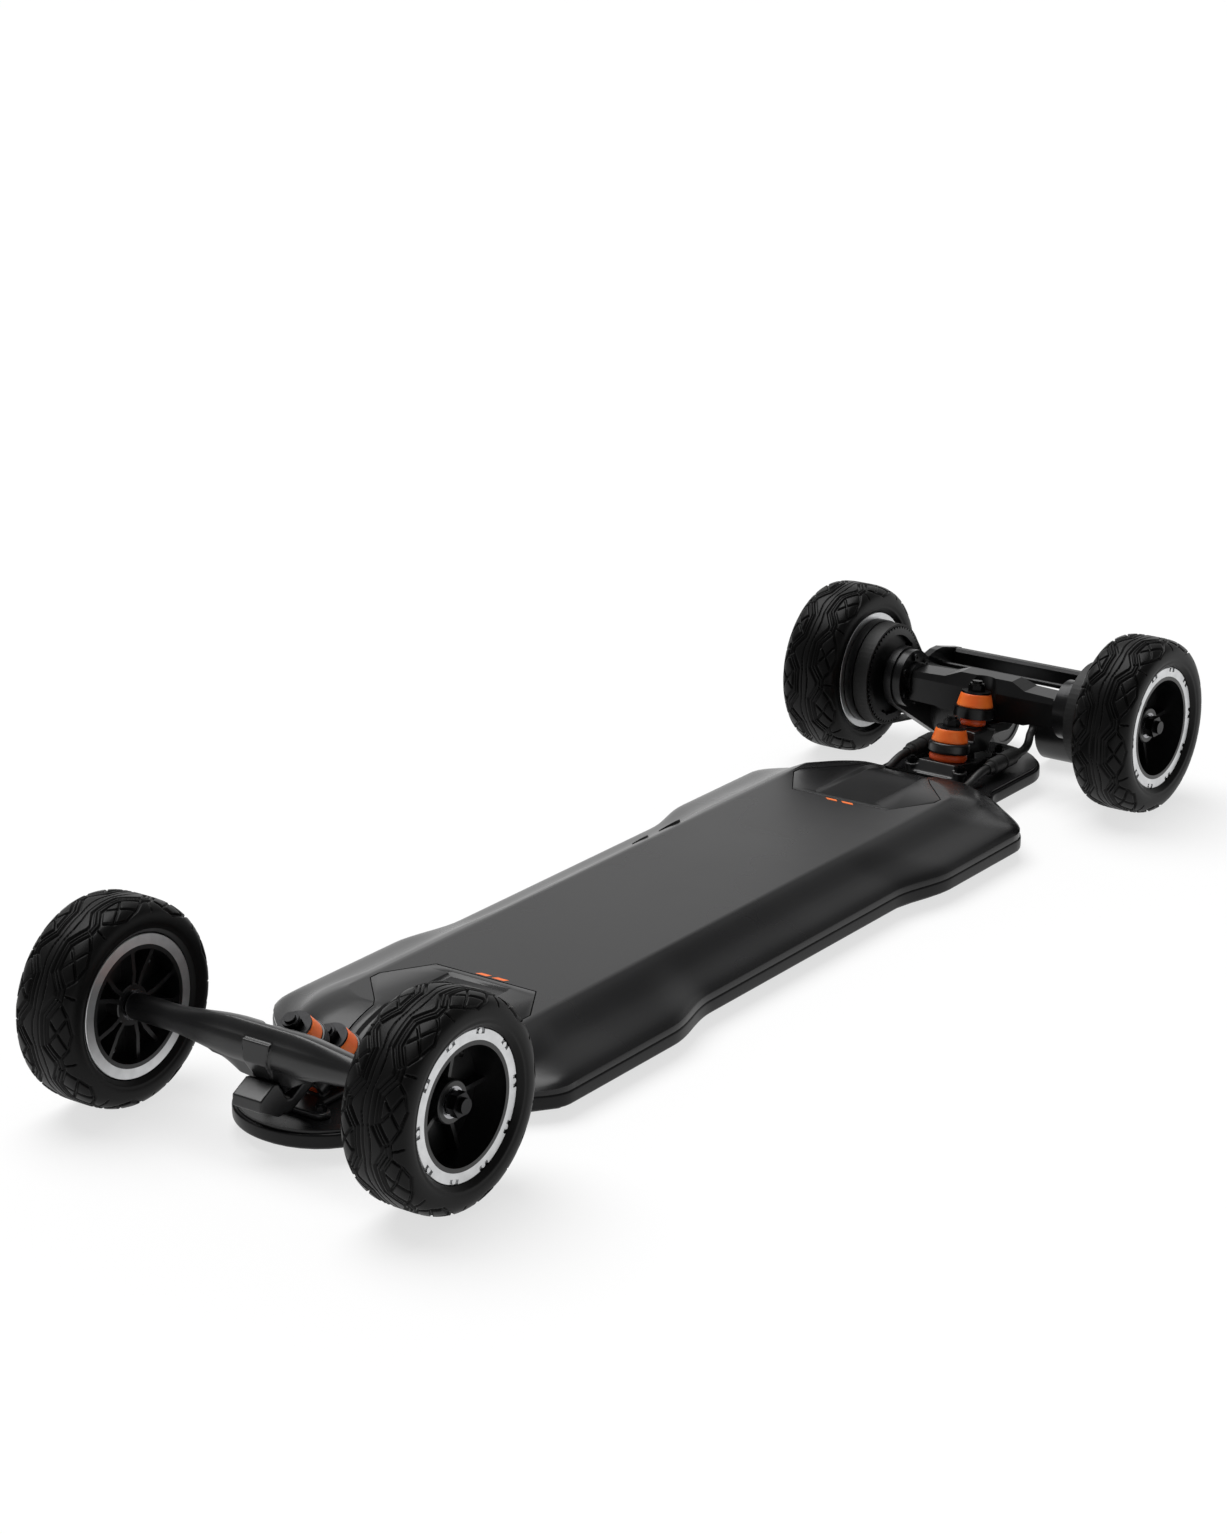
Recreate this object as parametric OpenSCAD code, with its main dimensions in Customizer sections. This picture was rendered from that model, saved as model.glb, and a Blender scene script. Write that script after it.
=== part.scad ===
// Electric mountainboard, lying belly up on its wheels, in millimetres.
// X runs along the board (nose at -X, driven end at +X), Z is up, the ground is at z = 0.
// Each truck is drawn with X pointing outwards and mirrored for the nose.

/* [Board] */
// Reach of the nose from the middle of the wheelbase
nose_reach = 530; // [505:1:545]
// Reach of the tail from the middle of the wheelbase
tail_reach = 548; // [535:1:556]
// Width of the deck under the feet
deck_w = 292; // [270:1:320]
// Width of the deck at its waist
waist_w = 264; // [240:1:290]
// Width of the deck between the wheels
neck_w = 129; // [120:1:140]
// Thickness of the deck
deck_t = 12; // [9:0.5:16]
// Rounding of the deck's edges
deck_round = 3; // [1:0.5:4]
// Thickness of the grip sheet
grip_t = 1.2; // [0.8:0.1:2]

/* [Belly cover] */
// Height of the belly cover above the deck
cover_h = 30; // [27:0.5:40]
// Thickness of the cover's flange under the trucks
flange_t = 2.5; // [2:0.1:4]
// Width of the flat top of the cover
cover_top_w = 160; // [150:1:176]
// Where the cover's end slopes reach the flange
cover_reach = 407; // [402:1:409]
// Where the flat top ends towards the nose
nose_ridge = 353; // [345:1:360]
// Where the flat top ends towards the tail
tail_ridge = 345; // [338:1:355]
// Wall over the battery
cover_wall = 3; // [2:0.5:5]
// Thickness of the hatches
hatch_t = 5; // [4:0.5:6]
// Depth of the hatches' middle channel
channel_depth = 2.5; // [1:0.5:3]
// Width of the hatches' middle channel
channel_w = 56; // [40:1:66]
// Gap round a hatch
hatch_gap = 0.4; // [0.3:0.1:1]
// Diameter of the power button
button_d = 16; // [12:1:18]
// Diameter of the charge port
port_d = 18; // [14:1:20]

/* [Wheels] */
// Distance between the axles
wheelbase = 1036; // [1030:1:1060]
// Distance between the wheels' middle planes
track = 318; // [312:1:330]
// Outer diameter of the tyres
tyre_d = 165; // [155:1:180]
// Width of the tyres
tyre_w = 59; // [54:1:64]
// Thickness of the tyres' sidewall
tyre_wall = 5.5; // [4:0.5:7]
// Outer diameter of the rim rings
ring_d = 114; // [110:1:118]
// Inner diameter of the rim rings
ring_bore = 97; // [94:1:99]
// Thickness of the rim rings
ring_t = 3; // [2:0.5:4]
// Number of ring bolts
ring_bolts = 10; // [6:1:12]
// Diameter of the hub's boss
boss_d = 33; // [30:1:36]
// Number of forked ribs
rib_count = 5; // [3:1:6]
// Thickness of a rib
rib_t = 3.5; // [2.5:0.5:5]
// Outer diameter of the wheel bearings
bearing_d = 24; // [22:1:26]
// Width of the wheel bearings
bearing_w = 7; // [6:1:8]
// Diameter of the axles
axle_d = 12; // [11:0.5:13]

/* [Trucks] */
// Height of the axles over the cover's flange
ride_h = 58; // [57:0.5:64]
// Outward lean of the front kingpins
front_lean = 30; // [28:1:31]
// Outward lean of the rear kingpins
rear_lean = 10; // [8:1:12]
// Diameter of the kingpins
kingpin_d = 9.5; // [8:0.5:10]
// Width of the kingpin nuts across their corners
nut_d = 16; // [14:0.5:17]
// Diameter of the bushing cones at their wide end
cone_d = 34.6; // [32:0.2:36]
// Diameter of the bushing cones at their narrow end
cone_top_d = 28; // [25:0.5:29]
// Height of the bushing cones
cone_h = 13; // [11:0.5:14]
// Height of the lower bushings
barrel_h = 7.5; // [6:0.5:8]
// Diameter of the inner lower bushings
inner_barrel_d = 36; // [32:1:37]
// Diameter of the outer lower bushings
outer_barrel_d = 25; // [22:1:26]
// Diameter of the rings that sit between the bushings
truck_ring_d = 39; // [37:0.5:40]
// Bore of those rings
truck_ring_bore = 18; // [17:0.5:19]
// Diameter of the pivot noses
nose_d = 10.8; // [9:0.2:12]
// Outer diameter of the pivot cups
cup_d = 16; // [15:0.5:17]
// Diameter of the front hanger's ends
front_bar_d = 21; // [19:0.5:24]
// Diameter of the front hanger's middle
front_bar_mid_d = 36; // [32:1:38]
// Diameter of the rear hanger's end flanges
end_flange_d = 56; // [54:1:58]
// Diameter of the deck bolts
bolt_d = 5; // [4:0.5:6]
// Distance between the deck bolts across the board
bolt_span = 52; // [50:1:56]
// Distance between the deck bolts along the board
bolt_pitch = 73; // [70:1:76]

/* [Drive] */
// Diameter of the motors
motor_d = 63; // [56:1:64]
// Length of a motor
motor_len = 69; // [60:1:72]
// Distance from the rear axle back to the motor shafts
motor_back = 77; // [75:0.5:80]
// Distance from the rear axle down to the motor shafts
motor_drop = 48.5; // [44:0.5:49]
// Diameter of the motor shafts
shaft_d = 8; // [6:0.5:9]
// Thickness of the motor mounts
mount_t = 8; // [6:0.5:10]
// Pitch of the belt's teeth
belt_pitch = 5; // [4.8:0.1:5.1]
// Width of the belts
belt_w = 15; // [12:0.5:15]
// Thickness of the belts
belt_t = 2.2; // [1.6:0.1:2.4]
// Teeth on a wheel pulley
wheel_teeth = 60; // [56:1:60]
// Teeth on a motor pulley
motor_teeth = 15; // [14:1:16]

/* [Hidden] */
$fn = 48;

cast = [0.16, 0.16, 0.16];
orange = [0.95, 0.36, 0.1];
steel = [0.25, 0.25, 0.25];

// Clearances: press and running fits, loose holes, and gaps between pieces that move
fit = 0.05;
loose = 0.3;
gap = 0.5;

// Heights, all hung from the axles
axle_z = tyre_d / 2;
axle_x = wheelbase / 2;
mount_z = axle_z - ride_h;
belly_z = mount_z - flange_t;
stand_z = belly_z - deck_t;
cover_z = belly_z + cover_h;

// The outline is shifted so that the board's whole length is centred
motor_x = axle_x + motor_back;
motor_z = axle_z - motor_drop;
mid_x = (axle_x + tyre_d / 2 - motor_x - motor_d / 2) / 2;

module in_place() {
    translate([mid_x, 0, 0]) children();
}

// Deck outline: a waist, two foot areas and a neck between the wheels at each end
waist_to = 140;
foot_from = 210;
nose_neck = [345, 440];
tail_neck = [322, 425];
end_round = 55;

function ease(t) = let (c = min(1, max(0, t))) c * c * (3 - 2 * c);
function part_way(x, from, to) = ease((x - from) / (to - from));
function half_w(x) =
    let (
        neck = x > 0 ? tail_neck : nose_neck,
        foot = waist_w / 2 + (deck_w - waist_w) / 2 * part_way(abs(x), waist_to, foot_from)
    )
    foot + (neck_w / 2 - foot) * part_way(abs(x), neck[0], neck[1]);

// Points round the deck, drawn in by an inset
side_steps = 56;
end_steps = 8;
function both_ways(half) = concat(half, [for (i = [len(half) - 1:-1:0]) [half[i].x, -half[i].y]]);
function end_arc(inset, reach, steps) =
    [for (i = steps) let (a = 90 * i / (end_steps + 0.5))
        [
            sign(reach) * (abs(reach) - end_round + (end_round - inset) * cos(a)),
            (neck_w / 2 - inset) * sin(a)
        ]];
function deck_outline(inset) =
    let (x0 = -(nose_reach - end_round), x1 = tail_reach - end_round)
    both_ways(concat(
        end_arc(inset, -nose_reach, [0.5:end_steps]),
        [for (i = [0:side_steps]) let (x = x0 + (x1 - x0) * i / side_steps) [x, half_w(x) - inset]],
        end_arc(inset, tail_reach, [end_steps - 0.5:-1:0.5])
    ));

// A closed solid through rings of points, the lowest ring first. Each ring runs clockwise from above,
// and its second half mirrors the first, so that a cap is a strip of pairs.
module loft(rings) {
    n = len(rings[0]);
    last = len(rings) - 1;
    polyhedron(
        points = [for (ring = rings) each ring],
        faces = concat(
            [for (i = [0:n / 2 - 2]) each [[n - 2 - i, i + 1, i], [n - 1 - i, n - 2 - i, i]]],
            [for (k = [0:last - 1], i = [0:n - 1]) let (j = (i + 1) % n)
                each [
                    [k * n + j, (k + 1) * n + j, (k + 1) * n + i],
                    [k * n + j, (k + 1) * n + i, k * n + i]
                ]],
            [for (i = [0:n / 2 - 2], top = last * n)
                each [[top + i, top + i + 1, top + n - 2 - i], [top + i, top + n - 2 - i, top + n - 1 - i]]]
        )
    );
}

module plate(points, z, t) {
    translate([0, 0, z]) linear_extrude(t) polygon(points);
}

// A slab across the board with the given outline in X and Z
module side_slab(points, half) {
    translate([0, half, 0]) rotate([90, 0, 0]) linear_extrude(2 * half) polygon(points);
}

// A slab along the board with the given outline in Y and Z
module end_slab(points, x, t) {
    translate([x, 0, 0]) rotate([90, 0, 90]) linear_extrude(t) polygon(points);
}

function mirrored(half) = concat(half, [for (i = [len(half) - 1:-1:0]) [-half[i].x, half[i].y]]);

module along_x(r, x, length) {
    translate([x, 0, 0]) rotate([0, 90, 0]) cylinder(r = r, h = length);
}

module along_y(r, y, length) {
    translate([0, y, 0]) rotate([-90, 0, 0]) cylinder(r = r, h = length);
}

module along_z(r, z, length) {
    translate([0, 0, z]) cylinder(r = r, h = length);
}

// Deck: rings drawn in at the bottom and top for the rounded rail
module deck_board() {
    insets = [[0, deck_round], [0.1, deck_round / 3], [0.25, 0], [0.8, 0], [1, deck_round / 4]];
    color([0.07, 0.07, 0.07])
    difference() {
        loft([for (step = insets)
            [for (p = deck_outline(step[1])) [p.x, p.y, stand_z + deck_t * step[0]]]]);
        for (p = all_deck_bolts()) translate([p.x, p.y, 0]) {
            along_z(bolt_d / 2 + loose, stand_z - 1, deck_t + 2);
            along_z(bolt_head_r + loose, stand_z - 1, bolt_head_h + 1);
        }
        for (p = screw_spots) translate([p.x, p.y, 0]) {
            along_z(screw_r + loose, stand_z - 1, deck_t + 2);
            along_z(screw_head_r + loose, stand_z - 1, screw_head_h + 1);
        }
    }
}

grip_inset = 4;

module grip_sheet() {
    color([0.12, 0.12, 0.12])
    difference() {
        plate(deck_outline(grip_inset), stand_z - grip_t, grip_t);
        for (p = all_deck_bolts()) translate([p.x, p.y, 0])
            along_z(bolt_head_r + loose, stand_z - grip_t - 1, grip_t + 2);
        for (p = screw_spots) translate([p.x, p.y, 0])
            along_z(screw_head_r + loose, stand_z - grip_t - 1, grip_t + 2);
    }
}

// Belly cover profiles: share of the way from rail to top edge, share of the height
side_profile = [
    [0, 0], [0, 0.17], [0.05, 0.3], [0.15, 0.38], [0.29, 0.45], [0.58, 0.6], [0.76, 0.82], [0.87, 0.93],
    [1, 1]
];
end_profile = [
    [0, 0], [0, 0.1], [0.05, 0.15], [0.08, 0.22], [0.113, 0.27], [0.26, 0.47], [0.4, 0.67], [0.71, 0.88],
    [1, 1]
];
cover_inset = 1;
cover_corner = 18;
cover_steps = 48;
corner_steps = 4;

// Half width of the cover's foot, with rounded corners at its ends
function foot_half(x) =
    let (t = max(0, (abs(x) - cover_reach + cover_corner) / cover_corner))
    half_w(x) - cover_inset - cover_corner * (1 - sqrt(max(0, 1 - t * t)));
function cover_stations() =
    let (long = cover_reach - cover_corner)
    concat(
        [for (i = [corner_steps:-1:1]) -long - cover_corner * sin(90 * i / corner_steps)],
        [for (i = [0:cover_steps]) -long + 2 * long * i / cover_steps],
        [for (i = [1:corner_steps]) long + cover_corner * sin(90 * i / corner_steps)]
    );
function top_share() = cover_top_w / 2 / 105;
function ridge(x) = x > 0 ? tail_ridge : nose_ridge;
function cover_point(x, k) =
    let (
        at_end = part_way(abs(x), 330, 400),
        share = side_profile[k][0] + (end_profile[k][0] - side_profile[k][0]) * at_end,
        rise = side_profile[k][1] + (end_profile[k][1] - side_profile[k][1]) * at_end,
        y0 = foot_half(x),
        top_y = min(cover_top_w / 2, y0 * top_share()),
        top_x = x * ridge(x) / cover_reach
    )
    [x + (top_x - x) * share, y0 + (top_y - y0) * share, belly_z + cover_h * rise];
function cover_ring(k) =
    let (half = [for (x = cover_stations()) cover_point(x, k)])
    concat(half, [for (i = [len(half) - 1:-1:0]) [half[i].x, -half[i].y, half[i].z]]);

// The end slope seen from the side, as the hatches follow it: top line from ridge outwards
function slope_line(edge, to) =
    [for (k = [len(end_profile) - 1:-1:0])
        let (x = cover_reach - (cover_reach - edge) * end_profile[k][0])
        if (x < to) [x, belly_z + cover_h * end_profile[k][1]]];

// Hatches: from an inner edge over the flat top and down the end slope
hatch_slope_half = 38;
function hatch_plan(in_x, e) =
    let (s = hatch_slope_half + e)
    both_ways([
        [in_x - e, 50 + e * 0.4], [in_x + 40, 75 + e], [in_x + 52, 75 + e], [in_x + 84, s + 6],
        [in_x + 92, s], [in_x + 127 + e, s]
    ]);
// A band that follows the end slope, between two depths under the surface
function hatch_band(in_x, edge, e, high, low) =
    let (
        out = in_x + 127 + e,
        line = slope_line(edge, out),
        drop = slope_z(edge, out)
    )
    concat(
        [[in_x - e, cover_z + high]],
        [for (p = line) [p.x, p.y + high]],
        [[out, drop + high], [out, drop - low]],
        [for (i = [len(line) - 1:-1:0]) [line[i].x, line[i].y - low]],
        [[in_x - e, cover_z - low]]
    );
function slope_z(edge, x) =
    lookup(x, concat([for (p = slope_line(edge, cover_reach + 1)) p]));

module hatch_block(in_x, edge, e, high, low) {
    intersection() {
        plate(hatch_plan(in_x, e), 0, cover_z + 20);
        side_slab(hatch_band(in_x, edge, e, high, low), 90);
    }
}

front_hatch_in = cover_reach - 143;
rear_hatch_in = cover_reach - 154;
channel_ramp = 3;

module hatch(in_x, edge) {
    difference() {
        hatch_block(in_x, edge, 0, 0, hatch_t);
        intersection() {
            side_slab(hatch_band(in_x + 6, edge, 0, 20, channel_depth), 90);
            end_slab(mirrored([
                [channel_w / 2 + channel_ramp + 20, cover_z + 20], [channel_w / 2 + channel_ramp, cover_z],
                [channel_w / 2, cover_z - channel_depth], [channel_w / 2, 0]
            ]), in_x, 140);
        }
    }
}

// What the shell gives way to: battery bay, hatch recesses, lead holes, port and button
bay_half = 78;
bay_long = rear_hatch_in - 8;
bay_low_half = 95;
bay_low_z = 19;
lead_y = 44;
lead_z = 7;
lead_r = 4;

module shell_bay() {
    translate([-bay_long, -bay_half, belly_z - 1])
        cube([2 * bay_long, 2 * bay_half, cover_h - cover_wall + 1]);
    translate([-bay_long, -bay_low_half, belly_z - 1])
        cube([2 * bay_long, 2 * bay_low_half, bay_low_z + 1]);
}

flange_inset = 3;
flange_tongue = 50;

module belly_cover() {
    color([0.17, 0.17, 0.17])
    difference() {
        union() {
            loft([for (k = [0:len(side_profile) - 1]) cover_ring(k)]);
            for (way = [0, 1]) mirror([way, 0, 0]) intersection() {
                mirror([way, 0, 0]) plate(deck_outline(flange_inset), belly_z, flange_t);
                union() {
                    translate([cover_reach, -100, 0]) cube([200, 200, 100]);
                    translate([cover_reach - 8, -flange_tongue, 0]) cube([20, 2 * flange_tongue, 100]);
                }
            }
        }
        shell_bay();
        hatch_block(rear_hatch_in, tail_ridge, hatch_gap, 20, hatch_t);
        mirror([1, 0, 0]) hatch_block(front_hatch_in, nose_ridge, hatch_gap, 20, hatch_t);
        for (side = [-1, 1]) translate([0, side * lead_y, belly_z + lead_z])
            along_x(lead_r + loose, bay_long - 1, cover_reach - bay_long);
        at_far_side(port_x) {
            along_z(port_d / 2 + fit, -30, 60);
            port_cap(loose, port_seat, 30);
        }
        at_far_side(button_x) along_z(button_d / 2 + loose, -30, 60);
        for (p = screw_spots) translate([p.x, p.y, 0])
            along_z(screw_r + fit, belly_z - 1, screw_bite + 1);
        for (p = all_deck_bolts()) translate([p.x, p.y, 0])
            along_z(bolt_d / 2 + loose, belly_z - 1, flange_t + 2);
    }
}

// A frame on the cover's far slope, half way up its steep part, with Z out of the surface
port_x = 140;
button_x = 90;

module at_far_side(x) {
    low = cover_point(x, 5);
    high = cover_point(x, 6);
    mid = (low + high) / 2;
    tilt = atan2(high.z - low.z, low.y - high.y);
    translate([mid.x, mid.y, mid.z]) rotate([-tilt, 0, 0]) children();
}

// Charge port: barrel through the shell, closed by a rubber cap with a finger tab, in a flat seat
port_seat = 0.1;
port_cap_t = 1.7;

module port_cap(room, z, t) {
    along_z(port_d / 2 + 1.5 + room, z, t);
    translate([-3 - room, 0, z]) cube([6 + 2 * room, port_d / 2 + 4 + room, t]);
}

module charge_port() {
    color([0.1, 0.1, 0.1])
    at_far_side(port_x) {
        along_z(port_d / 2, -10, 11);
        port_cap(0, port_seat, port_cap_t);
    }
}

// Power button: a cap in a hole of the shell, with a wider foot on the stop sleeve
button_travel = 1;
module power_button() {
    color([0.3, 0.3, 0.3])
    at_far_side(button_x) {
        difference() {
            along_z(button_d / 2, -8, 9.6);
            along_z(button_d / 2 - 2.5, 1.2, 2);
        }
        along_z(2, -12, 4.2);
    }
}

// Cover screws: through the deck into the solid edge of the shell
screw_r = 2;
screw_head_r = 4;
screw_head_h = 2.4;
screw_bite = 8;
screw_y = 112;
screw_spots = [for (x = [-300:150:300], y = [-screw_y, screw_y]) [x, y]];

module cover_screws() {
    color([0.25, 0.25, 0.25])
    for (p = screw_spots) translate([p.x, p.y, 0]) {
        difference() {
            along_z(screw_head_r, stand_z - grip_t, screw_head_h + grip_t);
            translate([0, 0, stand_z - grip_t - 1]) cylinder(r = 1.6, h = 2.4, $fn = 6);
        }
        along_z(screw_r, stand_z + screw_head_h, deck_t - screw_head_h + screw_bite);
    }
}

// Battery: two rows of upright cell blocks in a wrap, on the deck
battery_long = 330;
battery_from = 9 - bay_long;
cell_d = 21;

module battery_pack() {
    half = bay_half - 4;
    top = cover_h - cover_wall - 3;
    rows = floor(battery_long / (cell_d + 1));
    color([0.15, 0.2, 0.5])
    translate([battery_from, 0, belly_z]) difference() {
        translate([0, -half, 0]) cube([battery_long, 2 * half, top]);
        for (i = [1:rows - 1]) translate([i * battery_long / rows - 0.75, -half - 1, top - 2])
            cube([1.5, 2 * half + 2, 3]);
    }
}

module motor_controller() {
    half = bay_half - 8;
    top = cover_h - cover_wall - 3;
    from = battery_from + battery_long + 12;
    long = bay_long - 6 - from;
    fins = 9;
    color([0.6, 0.6, 0.62])
    translate([from, 0, belly_z]) difference() {
        translate([0, -half, 0]) cube([long, 2 * half, top]);
        for (i = [1:fins]) translate([-1, -half + i * 2 * half / (fins + 1) - 2, top - 6])
            cube([long + 2, 4, 7]);
    }
}

module front_hatch() {
    color([0.2, 0.2, 0.2]) mirror([1, 0, 0]) hatch(front_hatch_in, nose_ridge);
}

module rear_hatch() {
    color([0.2, 0.2, 0.2]) hatch(rear_hatch_in, tail_ridge);
}

// Trucks. Two stages each: the baseplate's kingpin holds the link, the link's kingpin holds the hanger.
// In a stage's own frame the kingpin stands along Z, the pivot axis runs out along X, and the
// origin is the middle of the ring.
outer_back = [35.1, 27.7];
outer_drop = [7.9, 9.5];
link_run = [22.6, 40.3];
link_rise = [40.1, 30.5];
base_cup_at = [28, 22];
link_cup_at = [46, 46];
cup_len = 8;
cup_floor = 1.5;
cup_wall = 3;
ring_low = -6.5;
ring_high = 4;
seat = ring_low - barrel_h;
floor_t = 5;
head_r = 7.2;
head_h = 4.5;
washer_t = 2;
kingpin_nut_h = 7.5;
kingpin_tip = 2.3;
pivot_arm_r = 7.5;

function lean(end) = end == 0 ? front_lean : rear_lean;
function along(a) = [cos(a), -sin(a)];
function upward(a) = [sin(a), cos(a)];
function outer_ring(end) = [axle_x - outer_back[end], axle_z - outer_drop[end]];
function spot_from(c, end, a, s) = c + a * along(lean(end)) + s * upward(lean(end));
function inner_ring(end) = spot_from(outer_ring(end), end, -link_run[end], -link_rise[end]);
function inner_spot(end, a, s) = spot_from(inner_ring(end), end, a, s);
function outer_spot(end, a, s) = spot_from(outer_ring(end), end, a, s);

module at_inner(end) {
    c = inner_ring(end);
    translate([c.x, 0, c.y]) rotate([0, lean(end), 0]) children();
}

module at_outer(end) {
    c = outer_ring(end);
    translate([c.x, 0, c.y]) rotate([0, lean(end), 0]) children();
}

module front_truck() {
    mirror([1, 0, 0]) children();
}

// Deck bolts: four to a baseplate, head in the standing face, nut on the baseplate
bolt_head_r = 4.6;
bolt_head_h = 2.6;
bolt_nut_h = 5;
bolt_nut_d = 9.2;
bolt_from = 96;
foot_t = 5;
riser_h = [0, 6];

function deck_bolt_xs() = [axle_x - bolt_from, axle_x - bolt_from + bolt_pitch];
function all_deck_bolts() = [
    for (way = [-1, 1], x = deck_bolt_xs(), y = [-bolt_span / 2, bolt_span / 2]) [way * x, y]
];

module deck_bolts() {
    color([0.12, 0.12, 0.12])
    for (p = all_deck_bolts()) {
        nut_z = mount_z + foot_t + (p.x > 0 ? riser_h[1] : riser_h[0]);
        translate([p.x, p.y, 0]) {
            difference() {
                union() {
                    along_z(bolt_head_r, stand_z - grip_t, bolt_head_h + grip_t);
                    along_z(bolt_d / 2, stand_z, nut_z + bolt_nut_h + 1.5 - stand_z);
                }
                translate([0, 0, stand_z - grip_t - 1]) cylinder(d = 4, h = 2.6, $fn = 6);
            }
            difference() {
                union() {
                    translate([0, 0, nut_z]) cylinder(d = bolt_nut_d, h = bolt_nut_h - 1, $fn = 6);
                    along_z(bolt_nut_d / 2 - 0.8, nut_z, bolt_nut_h);
                }
                along_z(bolt_d / 2 + fit, nut_z - 1, bolt_nut_h + 2);
            }
        }
    }
}

// Baseplate: foot with four bolt ears, wedge under the kingpin, and a block for the pivot cup
base_half = 20;
ear_r = 7;
foot_half_w = 17;
cup_block_r = 11;

module cup_block(start, r) {
    along_x(r, start - 0.5, cup_len + cup_floor + 1);
}

module baseplate(end) {
    c = inner_ring(end);
    xs = deck_bolt_xs();
    start = base_cup_at[end];
    wedge = [
        [c.x - 32, mount_z], inner_spot(end, -20, seat), inner_spot(end, 20, seat),
        [inner_spot(end, 20, seat).x + 3, mount_z]
    ];
    rib = [
        inner_spot(end, start - 0.5, 0), inner_spot(end, start + cup_len + 2, 0),
        [inner_spot(end, start + cup_len + 2, 0).x + 3, mount_z],
        [inner_spot(end, start - 0.5, 0).x - 3, mount_z]
    ];
    difference() {
        intersection() {
            union() {
                translate([c.x - 32, -foot_half_w, mount_z])
                    cube([xs[1] + 6 - c.x + 32, 2 * foot_half_w, foot_t]);
                for (x = xs, y = [-bolt_span / 2, bolt_span / 2]) {
                    translate([x, y, 0]) along_z(ear_r, mount_z, foot_t + riser_h[end]);
                    translate([x - ear_r, min(y, 0), mount_z]) cube([2 * ear_r, bolt_span / 2, foot_t]);
                }
                side_slab(wedge, base_half);
                side_slab(rib, cup_block_r - 2);
                at_inner(end) cup_block(start, cup_block_r);
            }
            translate([c.x - 60, -60, mount_z]) cube([160, 120, 60]);
        }
        at_inner(end) {
            along_z(kingpin_d / 2 + fit, -40, 60);
            along_z(head_r + gap, -60, 60 + seat - floor_t);
            along_x(cup_d / 2, start - 1, cup_len + cup_floor + 1);
        }
        for (x = xs, y = [-bolt_span / 2, bolt_span / 2])
            translate([x, y, 0]) along_z(bolt_d / 2 + loose, mount_z - 1, 30);
    }
}

// Pivot cup: a urethane thimble
module cup(start) {
    difference() {
        along_x(cup_d / 2, start, cup_len + cup_floor);
        along_x(nose_d / 2 + fit * 2, start - 1, cup_len + 1);
    }
}

// Kingpin: bolt from below, washer and nut on the cone
module kingpin() {
    top = ring_high + cone_h + washer_t + kingpin_nut_h;
    translate([0, 0, seat - floor_t - head_h]) cylinder(r = head_r, h = head_h, $fn = 6);
    along_z(kingpin_d / 2, seat - floor_t, top + kingpin_tip - seat + floor_t);
    difference() {
        along_z(cone_top_d / 2, ring_high + cone_h, washer_t);
        along_z(kingpin_d / 2 + fit, ring_high, 40);
    }
    difference() {
        translate([0, 0, top - kingpin_nut_h]) cylinder(d = nut_d, h = kingpin_nut_h - 2, $fn = 6);
        along_z(kingpin_d / 2 + fit, ring_high, 40);
    }
    difference() {
        along_z(nut_d / 2 - 1.2, top - 2, 2);
        along_z(kingpin_d / 2 + fit, ring_high, 40);
    }
}

// Bushings: a barrel under the ring and a cone over it
module bushings(barrel_d) {
    difference() {
        along_z(barrel_d / 2, seat, barrel_h - fit);
        along_z(kingpin_d / 2 + loose, seat - 1, barrel_h + 2);
    }
    rotate_extrude() polygon([
        [kingpin_d / 2 + loose, ring_high + fit], [cone_d / 2 - 0.8, ring_high + fit],
        [cone_d / 2, ring_high + 1], [cone_top_d / 2, ring_high + cone_h],
        [kingpin_d / 2 + loose, ring_high + cone_h]
    ]);
}

// The ring that a stage turns on, with the arm to its pivot nose
module swing_ring(cup_start, arm_r) {
    difference() {
        union() {
            along_z(truck_ring_d / 2 - 1, ring_low, ring_high - ring_low);
            along_z(truck_ring_d / 2, ring_low + 1, ring_high - ring_low - 2);
        }
        along_z(truck_ring_bore / 2, ring_low - 1, 20);
    }
    difference() {
        along_x(arm_r, 14, cup_start - 0.8 - 14);
        along_z(truck_ring_bore / 2, -20, 40);
    }
    along_x(nose_d / 2, cup_start - 1, cup_len);
}

// Link: ring below, seat for the outer kingpin, and a block with the hanger's pivot cup
link_half = 14;
cheek_in = 12;
cheek_out = 16;
seat_r = 13;
arm_top = -12;
arm_low = -24;

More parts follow.
